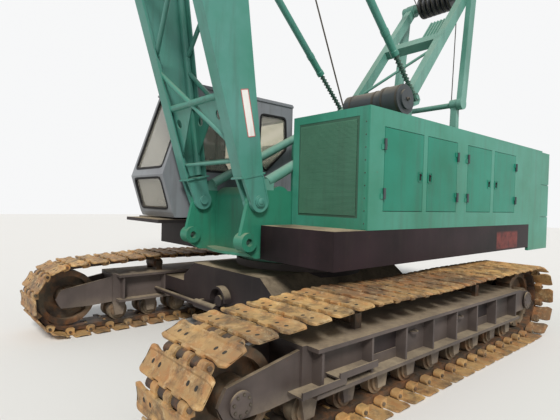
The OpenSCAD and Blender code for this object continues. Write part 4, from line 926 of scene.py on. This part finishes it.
def grilleMesh():
    low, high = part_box("radiator_grille")
    inside, step, wire = pick(house, "meshIn meshStep wire")
    y0, y1, z0, z1 = low.y + inside, high.y - inside, low.z + inside, high.z - inside
    x = house["front"] + house["meshOut"]
    upright = boxShape((x - wire, -wire, z0), (x + wire, wire, z1))
    level = boxShape((x - wire, y0, -wire), (x + wire, y1, wire))
    ys, zs = np.arange(y0, y1, step), np.arange(z0, z1, step)
    uprights = placed(upright, np.stack([0 * ys, ys, 0 * ys], 1))
    levels = placed(level, np.stack([0 * zs + 0.6 * wire, 0 * zs, zs], 1))
    makePiece("grille_mesh", join([uprights, levels]), "meshWire", "upper")


grilleMesh()


# Rim and paddle of a door's latch at a place along the house
def latch(name, x):
    side, z, (wide, tall), width, depth = pick(house, "side latchZ rimHalf rimWidth rimDepth")
    outline = rectangle(x - wide, z - tall, x + wide, z + tall)
    rim = frameLoop(outline, (0, side, 0), (1, 0, 0), (0, 0, 1), width, depth, depth)
    makePiece("latch_rim_" + name[-1], rim, "doorPaint", name)
    (wide, tall), (y0, y1), (keyY, keyZ) = pick(house, "paddleHalf paddleY keyAt")
    paddle = boxShape((x - wide, side + y0, z - tall), (x + wide, side + y1, z + tall))
    key = turned(house["key"], (x, side + keyY, z + keyZ), (0, 1, 0), 10)
    makePiece("latch_" + name[-1], join([paddle, key]), "rubber", name)


def houseTrim():
    front, (y0, y1), (z0, z1) = pick(house, "front stripY stripZ")
    face = front + house["stripOut"]
    strip = boxShape((front, y0, z0), (face, y1, z1))
    makePiece("corner_strip", strip, "housePaint", "upper")
    spots = [(face, (y0 + y1) / 2, z) for z in np.arange(*house["boltZ"], house["boltStep"])]
    # The corner bolts wear dark bolt steel: painted shade standing for the shadows round green bolt heads
    bolts = placed(boltShape(house["boltSize"]), spots, facing((1, 0, 0)))
    makePiece("corner_bolts_painted_shade", bolts, "boltSteel", "upper")
    for name, x in house["latches"].items():
        latch(name, x)


houseTrim()

hinges = {"radius": 0.0145, "y": 1.617, "low": 0.003, "high": 0.1033, "z": (1.735, 2.205),
          "left": (0.44, -1.0, -1.26, -2.73), "right": (-0.9, -2.8)}


# Dark barrels over the hinges' own, on the frame's side of each door
def hingeBarrels():
    radius, away, low, high = pick(hinges, "radius y low high")
    places = [(x, away) for x in hinges["left"]] + [(x, -away) for x in hinges["right"]]
    barrels = [rod((x, y, z - low), (x, y, z + high), radius, 14) for x, y in places for z in hinges["z"]]
    makePiece("hinge_barrels", join(barrels), "cleanerBlack", "upper")


hingeBarrels()

# Backstops: eye in x and z, direction, then distances from the eye and radii of the sleeve
backstop = {"low": (-1.55, 3.2), "way": (0.726009, 0, 0.687685), "y": 0.672, "mouth": 0.69, "lip": 0.755,
            "slope": 0.006, "end": 1.0, "inner": 0.045, "outer": 0.0506, "collar": 0.0565}


# Backstop sleeves: a hollow lip and tube that carry each tube down over its spring
def backstopSleeves():
    inner, outer, collar, mouth, lip, slope, end = pick(backstop, "inner outer collar mouth lip slope end")
    profile = [(inner, mouth), (collar, mouth), (collar, lip), (outer, lip + slope), (outer, end),
               (inner, end)]
    (x, z), side, way = pick(backstop, "low y way")
    sleeves = [turned(profile, (x, y, z), way, 32, True) for y in (side, -side)]
    makePiece("backstop_sleeves", join(sleeves), "boomPaint", "backstop_tubes")


backstopSleeves()

# Air cleaner: centre in x and z, its bands as (radius of the drum, y, width) and the knob on its end
cleaner = {"centre": (-0.4, 2.88), "end": 1.296, "bandIn": 0.002, "bandOut": 0.0045,
           "bands": ((0.17, 1.04, 0.022), (0.17, 1.235, 0.022), (0.15, 0.56, 0.025), (0.15, 0.9, 0.025)),
           "knob": ((0.022, 0), (0.022, 0.012), (0.012, 0.02), (0.012, 0.034), (0.004, 0.038))}


def cleanerTrim():
    (x, z), end, inward, out = pick(cleaner, "centre end bandIn bandOut")
    bands = [turned(rectangle(radius - inward, y, radius + out, y + width), (x, 0, z), (0, 1, 0), 40, True)
             for radius, y, width in cleaner["bands"]]
    knob = turned(cleaner["knob"], (x, end, z), (0, 1, 0))
    makePiece("cleaner_bands", join(bands + [knob]), "boltSteel", "upper")


cleanerTrim()

# Blank plate on the boom's side: a white sheet in a thin coloured border
sign = {"at": (0.884, -0.023), "width": 0.088, "length": 0.46, "y": 0.613, "sheetY": (-0.0005, 0.0015),
        "borderY": 0.001, "border": (0.008, 0.004)}


def signPlate():
    w, h, (u, v), y = sign["width"] / 2, sign["length"] / 2, sign["at"], sign["y"]
    x, z = onBoom(u, v)
    corners, (width, depth), (low, high) = rectangle(-w, -h, w, h), sign["border"], sign["sheetY"]
    border = frameLoop(corners, (x, y + sign["borderY"], z), boomFore, boomUp, width, depth, depth, 2)
    sheet = prism([onBoom(u + b, v + a) for a, b in corners], y + low, y + high)
    makePiece("sign_sheet", sheet, "platePaint", "boom")
    makePiece("sign_border", border, "borderPaint", "boom")


signPlate()

lug = {"radius": 0.105, "rear": -0.088, "front": 0.15, "top": 0.262, "y": 0.6145,
       "rim": (0.014, 0.009, 0.02)}


# Raised rim round each outer lug of the boom's foot: half a circle below the pin, straight sides above it.
# Its rim is (width, depth, corner)
def lugRims():
    arc = lug["radius"] * onCircle(np.linspace(np.pi, 2 * np.pi, 13))
    outline = np.vstack([[(lug["rear"], lug["top"])], arc, [(lug["front"], lug["top"])]])
    x, z = boomFrame["foot"]
    rim = frameLoop(outline, (x, lug["y"], z), boomFore, boomUp, *lug["rim"], 3)
    makePiece("lug_rims", mirrored(rim), "boomPaint", "boom")


lugRims()

# Wheels' bearing caps as (x, z, radius), their bolts, and the ends of the boom's foot pins
caps = {"wheels": ((2.33, 0.44, 0.085), (-2.33, 0.47, 0.11)), "y": 1.95, "bolts": 8, "boltTurn": 0.2,
        "boltIn": 0.022, "boltY": 0.017, "boltSize": 0.01, "footY": 0.638,
        "foot": ((0.034, 0), (0.034, 0.006), (0.028, 0.01))}


def makeCaps():
    lids, bolts, feet = [], [], []
    angle = np.arange(caps["bolts"]) * 2 * np.pi / caps["bolts"] + caps["boltTurn"]
    for side in (-1, 1):
        for x, z, radius in caps["wheels"]:
            y = side * caps["y"]
            profile = [(radius, -0.002), (radius, 0.012), (radius - 0.012, 0.018), (0.03, 0.02)]
            lids.append(turned(profile, (x, y, z), (0, side, 0), 24))
            ring = (radius - caps["boltIn"]) * onCircle(angle) + (x, z)
            bolts.append(placed(boltShape(caps["boltSize"]), atY(ring, y + side * caps["boltY"]),
                                facing((0, side, 0))))
        x, z = boomFrame["foot"]
        feet.append(turned(caps["foot"], (x, side * caps["footY"], z), (0, side, 0), 20))
    makePiece("wheel_caps", join(lids), "sideFrame", "undercarriage")
    makePiece("wheel_cap_bolts", join(bolts), "boltSteel", "undercarriage")
    makePiece("foot_pin_ends", join(feet), "boomPaint", "boom")


makeCaps()
print("trim in place")

# Camera worked out from the picture: place, heading, pitch and roll in the model's frame
view = {"place": (3.9191, 4.0671, 1.6832), "yaw": 3.9893, "pitch": -0.0189, "roll": 0.0258, "lens": 28.01}


def makeCamera():
    yaw, pitch, roll = view["yaw"], view["pitch"], view["roll"]
    look = np.array([math.cos(yaw) * math.cos(pitch), math.sin(yaw) * math.cos(pitch), math.sin(pitch)])
    right = np.array([math.sin(yaw), -math.cos(yaw), 0.0])
    upward = np.cross(right, look)
    right, upward = (math.cos(roll) * right + math.sin(roll) * upward,
                     -math.sin(roll) * right + math.cos(roll) * upward)
    data = bpy.data.cameras.new("camera")
    data.sensor_width, data.sensor_fit, data.lens = 36.0, "HORIZONTAL", view["lens"]
    camera = addObject("camera", data)
    matrix = np.eye(4)
    matrix[:3, 0], matrix[:3, 1], matrix[:3, 2], matrix[:3, 3] = right, upward, -look, view["place"]
    camera.matrix_world = matrix.T.tolist()
    bpy.context.scene.camera = camera


makeCamera()

lamps = {"skyColour": (0.94, 0.97, 1.0, 1.0), "skyStrength": 0.5, "backdrop": (0.93, 0.935, 0.94, 1.0),
         "sunStrength": 2.9, "sunColour": (1.0, 0.97, 0.92), "sunSpread": math.radians(14),
         "sunTurn": (math.radians(48.7), 0.0, math.radians(143.2)), "floorSize": 80.0,
         "floor": {"Base Color": (0.78, 0.77, 0.75, 1.0), "Roughness": 0.9}}


# The world lights softly; camera, mirror and glass rays see a plain pale backdrop
def makeWorld():
    world = bpy.data.worlds.new("studio")
    bpy.context.scene.world = world
    world.use_nodes = True
    tree = world.node_tree
    tree.nodes.clear()
    rays = addNode(tree, "LightPath").outputs
    seen = calc(tree, "MAXIMUM", rays["Is Camera Ray"],
                calc(tree, "MAXIMUM", rays["Is Glossy Ray"], rays["Is Transmission Ray"]))
    soft = addNode(tree, "Background", {"Color": lamps["skyColour"], "Strength": lamps["skyStrength"]})
    plain = addNode(tree, "Background", {"Color": lamps["backdrop"], "Strength": 1.0})
    both = addNode(tree, "MixShader", {0: seen, 1: soft.outputs[0], 2: plain.outputs[0]})
    out = addNode(tree, "OutputWorld")
    tree.links.new(both.outputs[0], out.inputs["Surface"])


makeWorld()


# Sun from behind the viewer and a plain floor
def makeStage():
    data = bpy.data.lights.new("sun", "SUN")
    data.energy, data.angle, data.color = pick(lamps, "sunStrength sunSpread sunColour")
    addObject("sun", data).rotation_euler = lamps["sunTurn"]
    half = lamps["floorSize"] / 2
    mesh = bpy.data.meshes.new("floor")
    mesh.from_pydata([(x, y, 0) for x, y in rectangle(-half, -half, half, half)], [], [(0, 1, 2, 3)])
    mesh.materials.append(newMaterial("floorGrey", lamps["floor"])[0])
    addObject("floor", mesh)


makeStage()
bpy.context.scene.view_settings.view_transform = "Standard"
